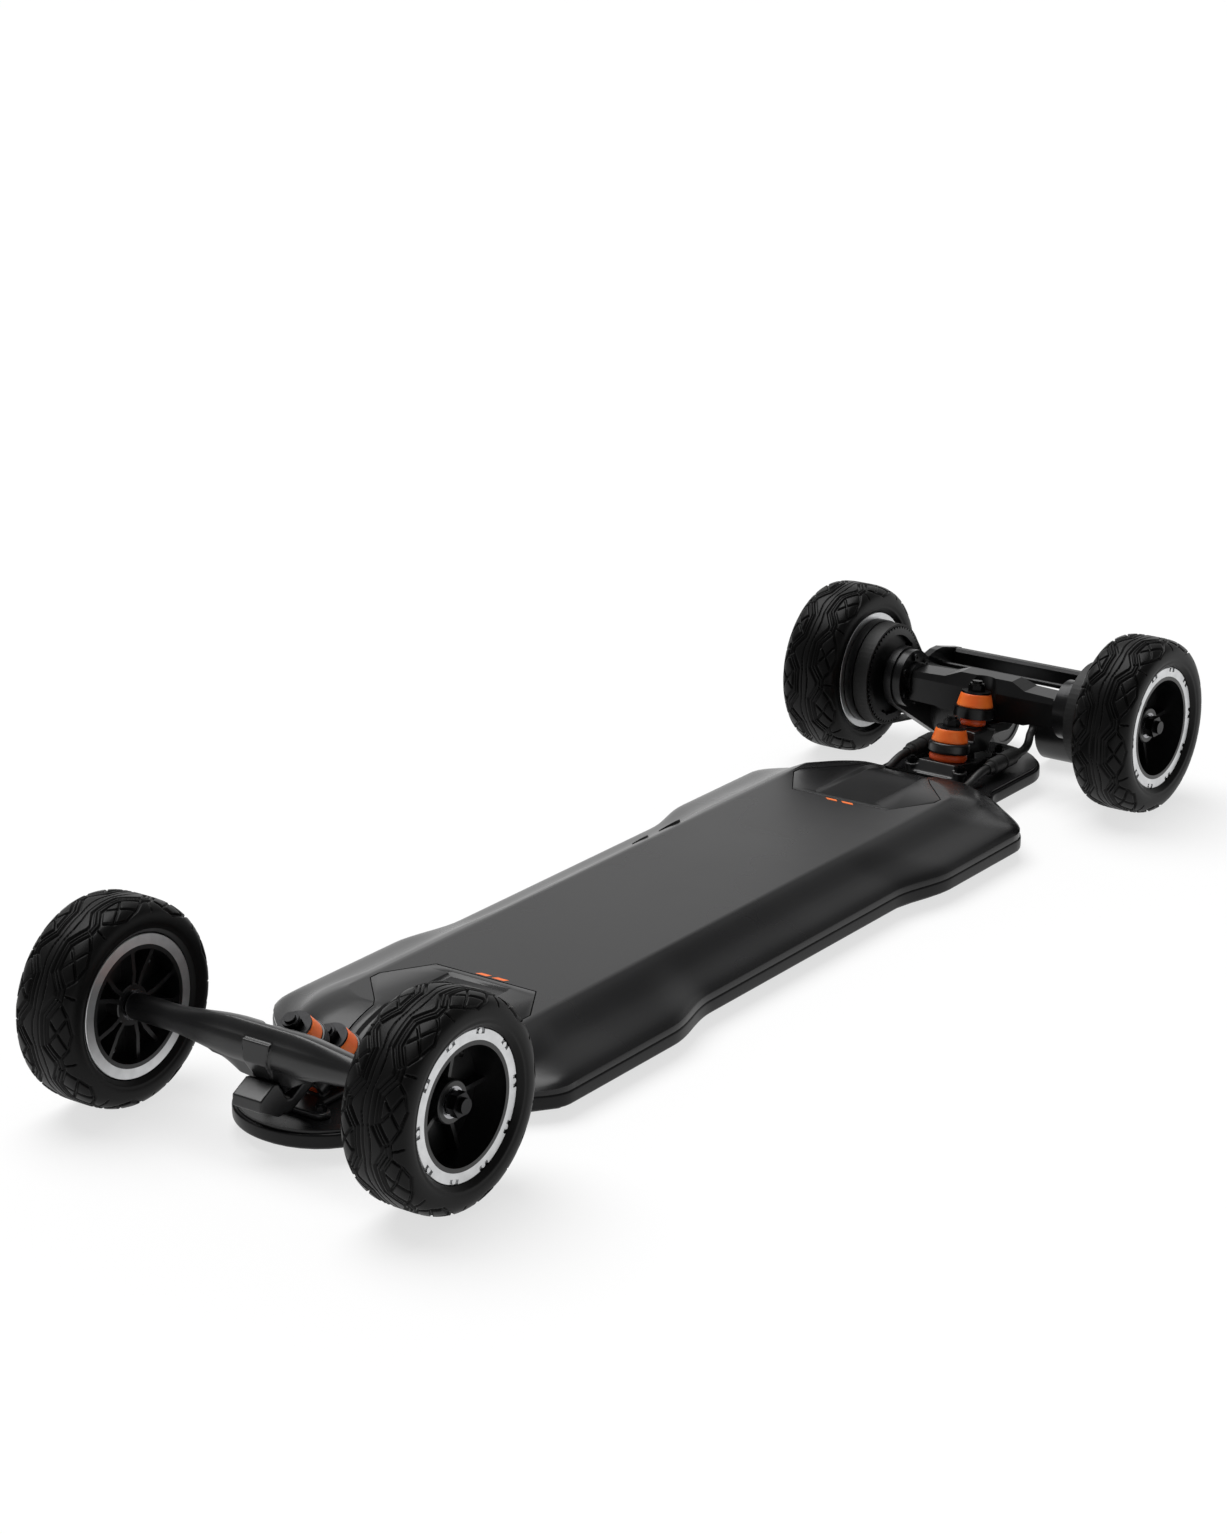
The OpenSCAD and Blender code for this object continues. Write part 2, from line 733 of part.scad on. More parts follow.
module link(end) {
    start = base_cup_at[end];
    run = link_run[end];
    cup2 = link_cup_at[end];
    seat_a = run;
    column_out = start - 1.2;
    over_block = 12.3;
    seat_s = link_rise[end] + seat;
    column = [
        [14, ring_low], [column_out, ring_low], [column_out, over_block],
        [max(column_out, seat_a + 6), over_block], [seat_a + 18, seat_s - floor_t], [seat_a + 10, seat_s],
        [18.2 + 1.2, seat_s - 3], [18.2, ring_high], [14, ring_high]
    ];
    cheek = [
        [12, ring_low], [44, ring_low], [58, over_block], [44, seat_s - 2], [18.2, seat_s - 4],
        [18.2, ring_high], [12, ring_high]
    ];
    arm = [
        [2, arm_low], [cup2 + 2, arm_low + 3], [cup2 + 14, -13], [cup2 + 26, 6], [cup2 + 21, 13],
        [cup2 + 3, 12.5], [cup2 - 0.5, 9], [cup2 - 0.5, -9], [cup2 - 4, arm_top], [2, arm_top]
    ];
    difference() {
        union() {
            at_inner(end) {
                swing_ring(start, pivot_arm_r);
                side_slab(column, link_half);
                if (end == 1) for (y = [-cheek_out, cheek_in])
                    translate([0, y + (cheek_out - cheek_in) / 2, 0])
                        side_slab(cheek, (cheek_out - cheek_in) / 2);
            }
            at_outer(end) {
                along_z(seat_r, seat - floor_t, floor_t);
                side_slab(arm, link_half);
            }
        }
        at_inner(end) {
            along_z(truck_ring_bore / 2, ring_low - 1, 60);
            along_z(inner_barrel_d / 2 + loose, seat, barrel_h);
            along_z(cone_d / 2 + 0.8, ring_high + 0.01, 40);
        }
        at_outer(end) {
            along_z(kingpin_d / 2 + fit, -40, 60);
            along_z(head_r + gap, seat - floor_t - head_h - gap, head_h + gap);
            along_z(outer_barrel_d / 2 + 4, seat, 40);
            along_x(cup_d / 2, cup2 - 1, cup_len + cup_floor + 1);
        }
    }
}

module ring_scoop(end) {
    at_outer(end) {
        along_z(truck_ring_bore / 2, ring_low - 1, 60);
        along_z(cone_d / 2 + 1.6, ring_high + 0.01, 60);
    }
}

// Front hanger: a round cast bar with a ridge on top and an arched web down to the pivot
front_bar_stops = [[0, 1], [24, 1], [40, 0.97], [52, 0.6], [62, 0.34], [78, 0.16], [115, 0]];
hanger_end = 20.3;

function bar_end_y() = track / 2 - hanger_end;
function bar_r(share) = front_bar_d / 2 + (front_bar_mid_d - front_bar_d) / 2 * share;

module front_hanger() {
    end = 0;
    half = concat(
        [[0, 0]],
        [for (s = front_bar_stops) [bar_r(s[1]), s[0]]],
        [[bar_r(0), bar_end_y() - 2], [bar_r(0) - 1.5, bar_end_y()], [0, bar_end_y()]]
    );
    web = [
        outer_spot(end, 8, ring_low + 0.5), outer_spot(end, 30, -7),
        outer_spot(end, link_cup_at[0] - 1.2, -6), outer_spot(end, link_cup_at[0] - 1.2, 7),
        [axle_x + 13, axle_z - 12], [axle_x + 10, axle_z + 12],
        [axle_x - 12, axle_z + 12], outer_spot(end, 8, ring_high)
    ];
    arch = mirrored(concat(
        [[0, axle_z - 60], [11, axle_z - 60]],
        [for (a = [0:10:90]) [66 - 54 * cos(a), axle_z - 34 + 26 * sin(a)]],
        [[66, axle_z + 20], [0, axle_z + 20]]
    ));
    ridge_half = [[0, axle_z + 19], [16, axle_z + 19], [26, axle_z + 15], [62, axle_z + 13], [78, axle_z + 8],
        [78, axle_z], [0, axle_z]];
    color([0.2, 0.2, 0.2]) in_place() front_truck()
    difference() {
        union() {
            for (side = [-1, 1]) translate([axle_x, 0, axle_z]) rotate([-90 * side, 0, 0])
                rotate_extrude() polygon(half);
            end_slab(mirrored(ridge_half), axle_x - 9, 18);
            intersection() {
                side_slab(web, 70);
                end_slab(arch, axle_x - 60, 120);
            }
            for (y = [-11, 11]) translate([0, y, 0]) side_slab([
                outer_spot(end, 30, -7), outer_spot(end, link_cup_at[0] - 1.2, -6),
                outer_spot(end, link_cup_at[0] - 1.2, 7),
                [axle_x + 19, axle_z - 4], [axle_x + 16, axle_z + 12], [axle_x, axle_z + 12]
            ], 1.6);
            at_outer(end) swing_ring(link_cup_at[end], pivot_arm_r);
        }
        ring_scoop(end);
        translate([axle_x, 0, axle_z]) along_y(axle_d / 2 + fit, -200, 400);
    }
}

// Rear hanger: a machined beam with chamfered top, end flanges for the motor mounts, and axle tubes
beam_half = track / 2 - 75;
flange_len = 9;
tube_r = 11;
flange_bolts = 6;
flange_bolt_r = 2;
flange_bolt_ring = 21.5;

module flange_bolt_spots() {
    for (i = [0:flange_bolts - 1]) rotate([0, 360 / flange_bolts * (i + 0.5), 0])
        translate([flange_bolt_ring, 0, 0]) children();
}

module rear_hanger() {
    end = 1;
    front_face = [
        [0, axle_z + 18.5], [28, axle_z + 18.5], [44, axle_z + 12.5], [beam_half, axle_z + 11],
        [beam_half, axle_z - 17], [52, axle_z - 18], [30, axle_z - 25], [16, axle_z - 32], [0, axle_z - 32]
    ];
    section = [
        [axle_x - 14, axle_z - 20], [axle_x - 14, axle_z + 6], [axle_x - 6, axle_z + 19],
        [axle_x + 12, axle_z + 19], [axle_x + 14, axle_z + 14], [axle_x + 14, axle_z - 20],
        [axle_x, axle_z - 24]
    ];
    web = [
        outer_spot(end, 8, ring_low + 0.5), outer_spot(end, 30, -7),
        outer_spot(end, link_cup_at[1] - 1.2, -6), outer_spot(end, link_cup_at[1] - 1.2, 7),
        [axle_x + 14, axle_z - 10], [axle_x + 14, axle_z + 10],
        [axle_x - 8, axle_z + 12], outer_spot(end, 8, ring_high)
    ];
    color([0.12, 0.12, 0.12]) in_place()
    difference() {
        union() {
            intersection() {
                side_slab(section, 100);
                end_slab(mirrored(front_face), axle_x - 40, 80);
            }
            side_slab(web, 15);
            for (side = [-1, 1]) translate([axle_x, 0, axle_z]) mirror([0, side < 0 ? 1 : 0, 0]) {
                along_y(end_flange_d / 2, beam_half, flange_len);
                along_y(flange_bolt_ring - 4.5, beam_half - 5, 6);
                along_y(tube_r, beam_half, bar_end_y() - beam_half);
            }
            at_outer(end) swing_ring(link_cup_at[end], pivot_arm_r);
        }
        ring_scoop(end);
        translate([axle_x, 0, axle_z]) {
            along_y(axle_d / 2 + fit, -200, 400);
            for (side = [-1, 1]) mirror([0, side < 0 ? 1 : 0, 0])
                flange_bolt_spots() along_y(flange_bolt_r + fit, beam_half - 10, 20);
        }
    }
}

// Axle: one rod through hanger and wheels, with a spacer, a flange nut and bare thread at each end
axle_nut_h = 8;
axle_nut_d = 20;
axle_thread = 4;
boss_out = 12;
boss_in = -20;

module axle(x) {
    face = track / 2 + boss_out + 0.3;
    translate([x, 0, axle_z]) {
        along_y(axle_d / 2, -(face + axle_nut_h + axle_thread), 2 * (face + axle_nut_h + axle_thread));
        for (side = [-1, 1]) mirror([0, side < 0 ? 1 : 0, 0]) difference() {
            union() {
                along_y(axle_nut_d / 2 - 1, face, 1.5);
                translate([0, face + 1.5, 0]) rotate([-90, 0, 0])
                    cylinder(d = axle_nut_d, h = axle_nut_h - 1.5, $fn = 6);
            }
            along_y(axle_d / 2 + fit, face - 1, axle_nut_h + 2);
        }
    }
}

// Wheels, drawn with Z out of the board through the wheel's middle plane
web_low = -8;
web_high = -4;
lip_r = 45;
barrel_r = 52;
ear_out_r = 56;
ring_seat = 22;
tube_low = -23;

module at_wheel(x, side) {
    in_place() translate([x, side * track / 2, axle_z]) rotate([-90 * side, 0, 0]) children();
}

function power(v, p) = v <= 0 ? 0 : pow(v, p);
tyre_mid_r = 67;
tyre_lip = 25.2;
bead_r = barrel_r + 0.3;

module tyre() {
    crown = tyre_d / 2 - tyre_mid_r;
    half = tyre_w / 2;
    out_r = ring_d / 2 + 0.4;
    low = [for (a = [-90:18:-1]) [
        tyre_mid_r + (tyre_mid_r - out_r) * sin(a), tyre_lip + (half - tyre_lip) * cos(a)]];
    high = [for (a = [0:9:90]) [tyre_mid_r + crown * power(sin(a), 0.8), half * power(cos(a), 0.5)]];
    inner = [for (a = [90:-15:0]) [
        tyre_mid_r + (crown - tyre_wall) * power(sin(a), 0.8), (half - tyre_wall) * power(cos(a), 0.5)]];
    side = concat(
        [[bead_r, 13], [bead_r, 17.7], [ear_out_r + 0.4, 18.6], [out_r, ring_seat + 0.2]], low, high);
    inside = concat(inner, [[58.5, 15], [57, 13]]);
    outline = concat(
        side, [for (i = [len(side) - 2:-1:0]) [side[i].x, -side[i].y]],
        [for (i = [len(inside) - 1:-1:0]) [inside[i].x, -inside[i].y]],
        [for (i = [1:len(inside) - 1]) inside[i]]
    );
    color([0.06, 0.06, 0.06]) rotate_extrude($fn = 96) polygon(outline);
}

// Forked rib: a stem from the boss that splits towards the rim
module forked_rib(t) {
    fork_r = 25;
    spread = 15;
    module bar(from, to) {
        d = to - from;
        n = [-d.y, d.x] / norm(d) * t / 2;
        polygon([from - n, to - n, to + n, from + n]);
    }
    linear_extrude(web_low - boss_in) union() {
        for (s = [-1, 1]) {
            bar([boss_d / 2 - 2, 3 * s], [fork_r, 4.5 * s]);
            bar([fork_r - 1, 4.2 * s], (lip_r + 1) * [cos(spread), s * sin(spread)]);
        }
    }
}

hub_bolt_ring = 38;
hub_bolt_r = 2.6;

module hub() {
    body = [
        [bearing_d / 2 + 0.5, web_high], [lip_r, web_high], [lip_r, ring_seat + ring_t],
        [ring_bore / 2 - fit, ring_seat + ring_t], [ring_bore / 2 - fit, ring_seat], [ear_out_r, ring_seat],
        [ear_out_r, 19], [barrel_r, 18], [barrel_r, -19], [ear_out_r, -20], [ear_out_r, tube_low],
        [ring_bore / 2 - fit, tube_low], [ring_bore / 2 - fit, tube_low - ring_t], [lip_r, tube_low - ring_t],
        [lip_r, web_low], [bearing_d / 2 + 0.5, web_low]
    ];
    boss = [
        [axle_d / 2 + 1.5, boss_in + bearing_w], [bearing_d / 2, boss_in + bearing_w],
        [bearing_d / 2, boss_in],
        [boss_d / 2 - 0.8, boss_in], [boss_d / 2, boss_in + 0.8], [boss_d / 2, boss_out - 0.8],
        [boss_d / 2 - 0.8, boss_out], [bearing_d / 2, boss_out], [bearing_d / 2, boss_out - bearing_w],
        [axle_d / 2 + 1.5, boss_out - bearing_w]
    ];
    color([0.05, 0.05, 0.05])
    difference() {
        union() {
            rotate_extrude($fn = 96) polygon(body);
            rotate_extrude() polygon(boss);
            for (i = [0:rib_count - 1]) rotate([0, 0, 360 / rib_count * i]) {
                translate([0, 0, boss_in]) forked_rib(rib_t);
                translate([boss_d / 2 - 2, -rib_t / 2, web_high - 1])
                    cube([lip_r - boss_d / 2 + 3, rib_t, 10]);
            }
        }
        for (i = [0:rib_count - 1]) rotate([0, 0, 360 / rib_count * (i + 0.5)])
            translate([hub_bolt_ring, 0, 0]) along_z(hub_bolt_r, -40, 80);
        for (end = [ring_seat, tube_low]) ring_bolt_spots()
            along_z(ring_bolt_r, end == tube_low ? tube_low - 1 : ring_seat - 2.6, 3.6);
    }
}

// Rim rings: the outer one has stepped pockets for its bolts, the inner one is plain
ring_bolt_r = 1.25;
pocket_w = 10;
pocket_depth = 1.6;

module ring_bolt_spots() {
    for (i = [0:ring_bolts - 1]) rotate([0, 0, 360 / ring_bolts * i])
        translate([(ring_d / 2 + 52) / 2, 0, 0]) children();
}

module rim_ring(z) {
    translate([0, 0, z]) rotate_extrude($fn = 96) polygon([
        [ring_bore / 2, 0], [ring_d / 2, 0], [ring_d / 2, ring_t - 0.4], [ring_d / 2 - 0.4, ring_t],
        [ring_bore / 2, ring_t]
    ]);
}

module rim_rings() {
    color([0.8, 0.8, 0.8]) {
        difference() {
            rim_ring(ring_seat);
            for (i = [0:ring_bolts - 1]) rotate([0, 0, 360 / ring_bolts * i])
                translate([ring_d / 2 - 4, -pocket_w / 2, ring_seat + ring_t - pocket_depth])
                    cube([10, pocket_w, 5]);
            ring_bolt_spots() along_z(ring_bolt_r + fit, ring_seat - 1, 6);
        }
        ring_bolt_spots() {
            along_z(ring_bolt_r, ring_seat - 2.5, ring_t - pocket_depth + 2.5);
            along_z(2.1, ring_seat + ring_t - pocket_depth, 1.4);
        }
        mirror([0, 0, 1]) rim_ring(-tube_low);
    }
}

module bearings() {
    color([0.75, 0.75, 0.75])
    for (z = [boss_in, boss_out - bearing_w]) translate([0, 0, z]) rotate_extrude() polygon([
        [axle_d / 2 + fit, 0], [axle_d / 2 + 2, 0], [axle_d / 2 + 2.2, 0.6], [bearing_d / 2 - 2.2, 0.6],
        [bearing_d / 2 - 2, 0], [bearing_d / 2 - fit, 0], [bearing_d / 2 - fit, bearing_w],
        [bearing_d / 2 - 2, bearing_w], [bearing_d / 2 - 2.2, bearing_w - 0.6],
        [axle_d / 2 + 2.2, bearing_w - 0.6], [axle_d / 2 + 2, bearing_w], [axle_d / 2 + fit, bearing_w]
    ]);
}

// Drive. Each side's pieces are drawn for +Y and mirrored.
mount_y = beam_half + flange_len;
belt_y = mount_y + mount_t + 7;
pulley_flange = 1.5;
wheel_pitch_r = wheel_teeth * belt_pitch / PI / 2;
motor_pitch_r = motor_teeth * belt_pitch / PI / 2;
tooth_drop = 0.57;
tooth_h = 2;
belt_clear = 0.35;

module on_side(side) {
    in_place() mirror([0, side < 0 ? 1 : 0, 0]) children();
}

module in_drive_plane(y, t) {
    translate([0, y + t, 0]) rotate([90, 0, 0]) linear_extrude(t) children();
}

// A loop of two arcs and their common tangents, as a belt runs round two pulleys
big_arc_steps = 40;
small_arc_steps = 16;
module tangent_loop(c1, r1, c2, r2) {
    d = c2 - c1;
    swing = acos((r1 - r2) / norm(d));
    way = atan2(d.y, d.x);
    polygon(concat(
        [for (i = [0:big_arc_steps]) let (a = way + swing + (360 - 2 * swing) * i / big_arc_steps)
            c1 + r1 * [cos(a), sin(a)]],
        [for (i = [0:small_arc_steps]) let (a = way - swing + 2 * swing * i / small_arc_steps)
            c2 + r2 * [cos(a), sin(a)]]
    ));
}

// Toothed disc: trapezoid teeth whose tips lie just inside the pitch circle
module toothed_disc(teeth, pitch_r) {
    tip = pitch_r - tooth_drop;
    root = tip - tooth_h;
    step = 360 / teeth;
    polygon([for (i = [0:teeth - 1], p = [[0, root], [0.3, root], [0.42, tip], [0.88, tip]])
        p[1] * [cos(step * (i + p[0])), sin(step * (i + p[0]))]]);
}

module belt() {
    c1 = [axle_x, axle_z];
    c2 = [motor_x, motor_z];
    in_wheel = wheel_pitch_r - tooth_drop + belt_clear;
    in_motor = motor_pitch_r - tooth_drop + belt_clear;
    color([0.05, 0.05, 0.05])
    in_drive_plane(belt_y, belt_w) difference() {
        tangent_loop(c1, in_wheel + belt_t, c2, in_motor + belt_t);
        tangent_loop(c1, in_wheel, c2, in_motor);
    }
}

drum_in = 5;
drum_flange = 8;
post_r = 4;

module wheel_pulley() {
    drum_y = belt_y - 1;
    drum_len = belt_w + 2;
    rim_out = wheel_pitch_r - tooth_drop;
    inside = rim_out - tooth_h - 6;
    hub_y = track / 2 + web_low;
    flange_end = drum_y + drum_len + drum_flange;
    color([0.08, 0.08, 0.08])
    translate([axle_x, 0, axle_z]) difference() {
        union() {
            in_drive_plane(drum_y, drum_len)
                toothed_disc(wheel_teeth, wheel_pitch_r);
            along_y(rim_out + 3.6, drum_y + drum_len, drum_flange);
            for (i = [0:rib_count - 1]) rotate([0, 360 / rib_count * (i + 0.5), 0])
                translate([hub_bolt_ring, 0, 0]) along_y(post_r, flange_end - 1, hub_y - flange_end + 1);
        }
        along_y(inside, drum_y - 1, drum_in + 1);
        along_y(tube_r + 2, drum_y - 1, drum_len + drum_flange + 2);
        along_y(inside, drum_y + drum_in + 5, drum_len + drum_flange);
        for (i = [0:rib_count - 1]) rotate([0, 360 / rib_count * (i + 0.5), 0])
            translate([hub_bolt_ring, 0, 0]) along_y(hub_bolt_r, drum_y - 1, 60);
    }
}

module motor_pulley() {
    tip = motor_pitch_r - tooth_drop;
    in_y = mount_y - 14;
    out_y = belt_y + belt_w + pulley_flange + 1.4;
    color([0.55, 0.55, 0.55])
    translate([motor_x, 0, motor_z]) {
        difference() {
            union() {
                in_drive_plane(belt_y - 0.6, belt_w + 1.2) toothed_disc(motor_teeth, motor_pitch_r);
                for (y = [belt_y - 0.6 - pulley_flange, belt_y + belt_w + 0.6])
                    along_y(tip + belt_t + 1.4, y, pulley_flange);
                along_y(tip - 3, mount_y + mount_t + 0.8, belt_y - mount_y - mount_t);
            }
            along_y(shaft_d / 2 + fit, mount_y, 60);
        }
        along_y(shaft_d / 2, in_y, out_y - in_y);
    }
}

module motor() {
    from = mount_y - motor_len;
    r = motor_d / 2;
    color([0.1, 0.1, 0.1])
    translate([motor_x, 0, motor_z]) difference() {
        translate([0, from, 0]) rotate([-90, 0, 0]) rotate_extrude($fn = 72) polygon([
            [0, 1.2], [r - 7, 1.2], [r - 6, 0], [r - 2, 0], [r, 2], [r, motor_len - 6],
            [r - 1, motor_len - 5],
            [r - 1, motor_len], [0, motor_len]
        ]);
        along_y(shaft_d / 2 + fit * 2, mount_y - 16, 20);
        along_y(4, from - 1, 1.5);
    }
}

// Motor mount: round the axle flange and the motor, with a horn that holds the brace bar
horn = [[18, 20], [33, 9], [56, 13.5], [68, 13.5], [104, 4], [104, -10], [96, -26], [60, -30], [20, -10]];
brace_at = [94, -2];
brace_w = 10;
brace_h = 16;
rod_at = [66, -3];
rod_d = 5;

module motor_mount() {
    shell = mount_y;
    color([0.13, 0.13, 0.13]) {
        difference() {
            in_drive_plane(shell, mount_t) union() {
                tangent_loop([axle_x, axle_z], end_flange_d / 2 + 2, [motor_x, motor_z], motor_d / 2 - 1);
                polygon([for (p = horn) [axle_x + p.x, axle_z + p.y]]);
            }
            translate([axle_x, 0, axle_z]) {
                along_y(tube_r + fit, shell - 1, mount_t + 2);
                flange_bolt_spots() along_y(flange_bolt_r + fit, shell - 1, 5);
            }
            translate([motor_x, 0, motor_z]) along_y(motor_pitch_r + 1, shell - 1, mount_t + 2);
            translate([axle_x + 38, 0, axle_z - 4]) along_y(4, shell - 1, mount_t + 2);
            translate([axle_x + brace_at.x, 0, axle_z + brace_at.y])
                along_y(2.5 + fit, shell - 1, mount_t + 2);
        }
        translate([axle_x, 0, axle_z]) flange_bolt_spots() {
            along_y(flange_bolt_r, beam_half, shell - beam_half + 3.6);
            difference() {
                along_y(3.8, beam_half - 2.6, 2.6);
                translate([0, beam_half - 3, 0]) rotate([-90, 0, 0]) cylinder(d = 3, h = 1.8, $fn = 6);
            }
        }
        translate([axle_x + brace_at.x, 0, axle_z + brace_at.y]) {
            along_y(2.5, shell - 8, mount_t + 8);
            along_y(4.4, shell + mount_t, 2.6);
        }
    }
}

module brace_bars() {
    w = brace_w / 2;
    h = brace_h / 2;
    bevel = 2.5;
    color([0.15, 0.15, 0.15]) in_place() {
        difference() {
            translate([axle_x + brace_at.x, 0, axle_z + brace_at.y]) side_slab([
                [-w, -h], [w, -h], [w, h - bevel], [w - bevel, h], [-w + bevel, h], [-w, h - bevel]
            ], mount_y);
            for (y = [-1, 1]) translate([axle_x + brace_at.x, 0, axle_z + brace_at.y])
                mirror([0, y < 0 ? 1 : 0, 0]) along_y(2.5 + fit, mount_y - 9, 10);
        }
        translate([axle_x + rod_at.x, 0, axle_z + rod_at.y]) {
            along_y(rod_d / 2, -mount_y, 2 * mount_y);
        }
    }
}

// Motor leads: from the controller through the cover, a connector, then up behind the hanger
route_in = [
    [bay_long - 5.8, 44, 29], [bay_long + 55, 44, 29], [cover_reach - 27, 44, 29], [cover_reach - 15, 44, 29],
    [cover_reach - 6, 44, 29], [cover_reach + 4, 44, 30.6], [422, 44, 34], [433, 44, 36], [441, 44, 36]
];
route_out = [
    [497, 44, 36], [508, 44, 36], [520, 42, 36.5], [534, 36, 33], [546, 30, 31], [554, 28, 38], [558, 28, 50],
    [566, 33, 57]
];
plug_from = 441;
plug_to = 497;
plug_z = 36;
lead_sides = 8;
lead_steps = 4;

function catmull(a, b, c, d, t) = 0.5 * (
    2 * b + (c - a) * t + (2 * a - 5 * b + 4 * c - d) * t * t + (3 * b - a - 3 * c + d) * t * t * t
);
function smooth_route(p) = [
    for (i = [0:len(p) - 2], j = [0:lead_steps - 1])
        catmull(p[max(0, i - 1)], p[i], p[i + 1], p[min(len(p) - 1, i + 2)], j / lead_steps),
    p[len(p) - 1]
];
function unit(v) = v / norm(v);
function heading(p, i) = unit(p[min(len(p) - 1, i + 1)] - p[max(0, i - 1)]);

module lead_run(route) {
    path = smooth_route(route);
    rings = [for (i = [0:len(path) - 1])
        let (t = heading(path, i), across = unit(cross(t, [0.2, 1, 0])), up = cross(across, t))
        [for (j = [0:lead_sides - 1]) let (a = 360 * j / lead_sides)
            path[i] + lead_r * (cos(a) * across + sin(a) * up)]];
    loft(rings);
}

module motor_lead() {
    lift = belly_z - 22;
    color([0.05, 0.05, 0.05]) {
        translate([0, 0, lift]) {
            lead_run(route_in);
            lead_run(route_out);
        }
        translate([0, lead_y, plug_z + lift]) {
            along_x(5.5, plug_from, 8);
            along_x(7.5, plug_from + 8, 17);
            along_x(6.5, plug_from + 25, 3);
            along_x(8, plug_from + 28, 18);
            along_x(5.5, plug_from + 46, plug_to - plug_from - 46);
        }
    }
}

in_place() deck_board();
in_place() grip_sheet();
in_place() belly_cover();
in_place() cover_screws();
in_place() battery_pack();
in_place() motor_controller();
in_place() charge_port();
in_place() power_button();
in_place() front_hatch();
in_place() rear_hatch();
in_place() deck_bolts();
on_side(1) motor_lead();  // left_motor_lead
on_side(-1) motor_lead();  // right_motor_lead

color(cast) in_place() front_truck() baseplate(0);  // front_baseplate
color(orange) in_place() front_truck() at_inner(0) cup(base_cup_at[0]);  // front_base_cup
color(steel) in_place() front_truck() at_inner(0) kingpin();  // front_inner_kingpin
color(orange) in_place() front_truck() at_inner(0) bushings(inner_barrel_d);  // front_inner_bushings
color(cast) in_place() front_truck() link(0);  // front_link
color(orange) in_place() front_truck() at_outer(0) cup(link_cup_at[0]);  // front_link_cup
color(steel) in_place() front_truck() at_outer(0) kingpin();  // front_outer_kingpin
color(orange) in_place() front_truck() at_outer(0) bushings(outer_barrel_d);  // front_outer_bushings
front_hanger();
color(steel) in_place() axle(-axle_x);  // front_axle
color(cast) in_place() baseplate(1);  // rear_baseplate
color(orange) in_place() at_inner(1) cup(base_cup_at[1]);  // rear_base_cup
color(steel) in_place() at_inner(1) kingpin();  // rear_inner_kingpin
color(orange) in_place() at_inner(1) bushings(inner_barrel_d);  // rear_inner_bushings
color(cast) in_place() link(1);  // rear_link
color(orange) in_place() at_outer(1) cup(link_cup_at[1]);  // rear_link_cup
color(steel) in_place() at_outer(1) kingpin();  // rear_outer_kingpin
color(orange) in_place() at_outer(1) bushings(outer_barrel_d);  // rear_outer_bushings
rear_hanger();
color(steel) in_place() axle(axle_x);  // rear_axle

on_side(1) motor();  // left_motor
on_side(1) motor_mount();  // left_motor_mount
on_side(1) motor_pulley();  // left_motor_pulley
on_side(1) belt();  // left_belt
on_side(1) wheel_pulley();  // left_wheel_pulley
on_side(-1) motor();  // right_motor
on_side(-1) motor_mount();  // right_motor_mount
on_side(-1) motor_pulley();  // right_motor_pulley
on_side(-1) belt();  // right_belt
on_side(-1) wheel_pulley();  // right_wheel_pulley
brace_bars();

at_wheel(-axle_x, 1) tyre();  // front_left_tyre
at_wheel(-axle_x, 1) hub();  // front_left_hub
at_wheel(-axle_x, 1) rim_rings();  // front_left_rim_rings
at_wheel(-axle_x, 1) bearings();  // front_left_bearings
at_wheel(-axle_x, -1) tyre();  // front_right_tyre
at_wheel(-axle_x, -1) hub();  // front_right_hub
at_wheel(-axle_x, -1) rim_rings();  // front_right_rim_rings
at_wheel(-axle_x, -1) bearings();  // front_right_bearings
at_wheel(axle_x, 1) tyre();  // rear_left_tyre
at_wheel(axle_x, 1) hub();  // rear_left_hub
at_wheel(axle_x, 1) rim_rings();  // rear_left_rim_rings
at_wheel(axle_x, 1) bearings();  // rear_left_bearings
at_wheel(axle_x, -1) tyre();  // rear_right_tyre
at_wheel(axle_x, -1) hub();  // rear_right_hub
at_wheel(axle_x, -1) rim_rings();  // rear_right_rim_rings
at_wheel(axle_x, -1) bearings();  // rear_right_bearings
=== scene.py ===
import math

import bmesh
import bpy
import numpy as np
from mathutils import Matrix, Vector
from mathutils.bvhtree import BVHTree


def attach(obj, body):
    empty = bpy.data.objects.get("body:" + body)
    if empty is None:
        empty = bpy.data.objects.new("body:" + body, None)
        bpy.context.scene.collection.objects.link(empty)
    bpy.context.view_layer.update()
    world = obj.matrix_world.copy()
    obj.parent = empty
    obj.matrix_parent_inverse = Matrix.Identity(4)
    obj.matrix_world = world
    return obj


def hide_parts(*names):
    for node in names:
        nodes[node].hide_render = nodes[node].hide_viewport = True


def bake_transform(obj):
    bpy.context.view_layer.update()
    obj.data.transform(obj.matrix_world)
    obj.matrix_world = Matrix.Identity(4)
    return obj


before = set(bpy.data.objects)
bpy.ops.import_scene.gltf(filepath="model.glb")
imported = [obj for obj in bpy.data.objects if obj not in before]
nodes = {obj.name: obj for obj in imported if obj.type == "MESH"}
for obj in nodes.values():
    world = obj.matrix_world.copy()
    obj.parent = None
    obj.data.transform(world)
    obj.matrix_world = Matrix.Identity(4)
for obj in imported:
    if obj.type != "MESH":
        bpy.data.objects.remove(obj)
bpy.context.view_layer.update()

# The deck: a thin stiff board of laminated composite, pressed flat, cut to its outline, and routed
# round its rail. It is sealed in black. The board lies belly up, so its standing face looks down.
MM = 0.001
MIDDLE_X = -13.0
DECK_LOW, DECK_HIGH = 10.0, 22.0
NOSE_REACH, TAIL_REACH = 530.0, 548.0
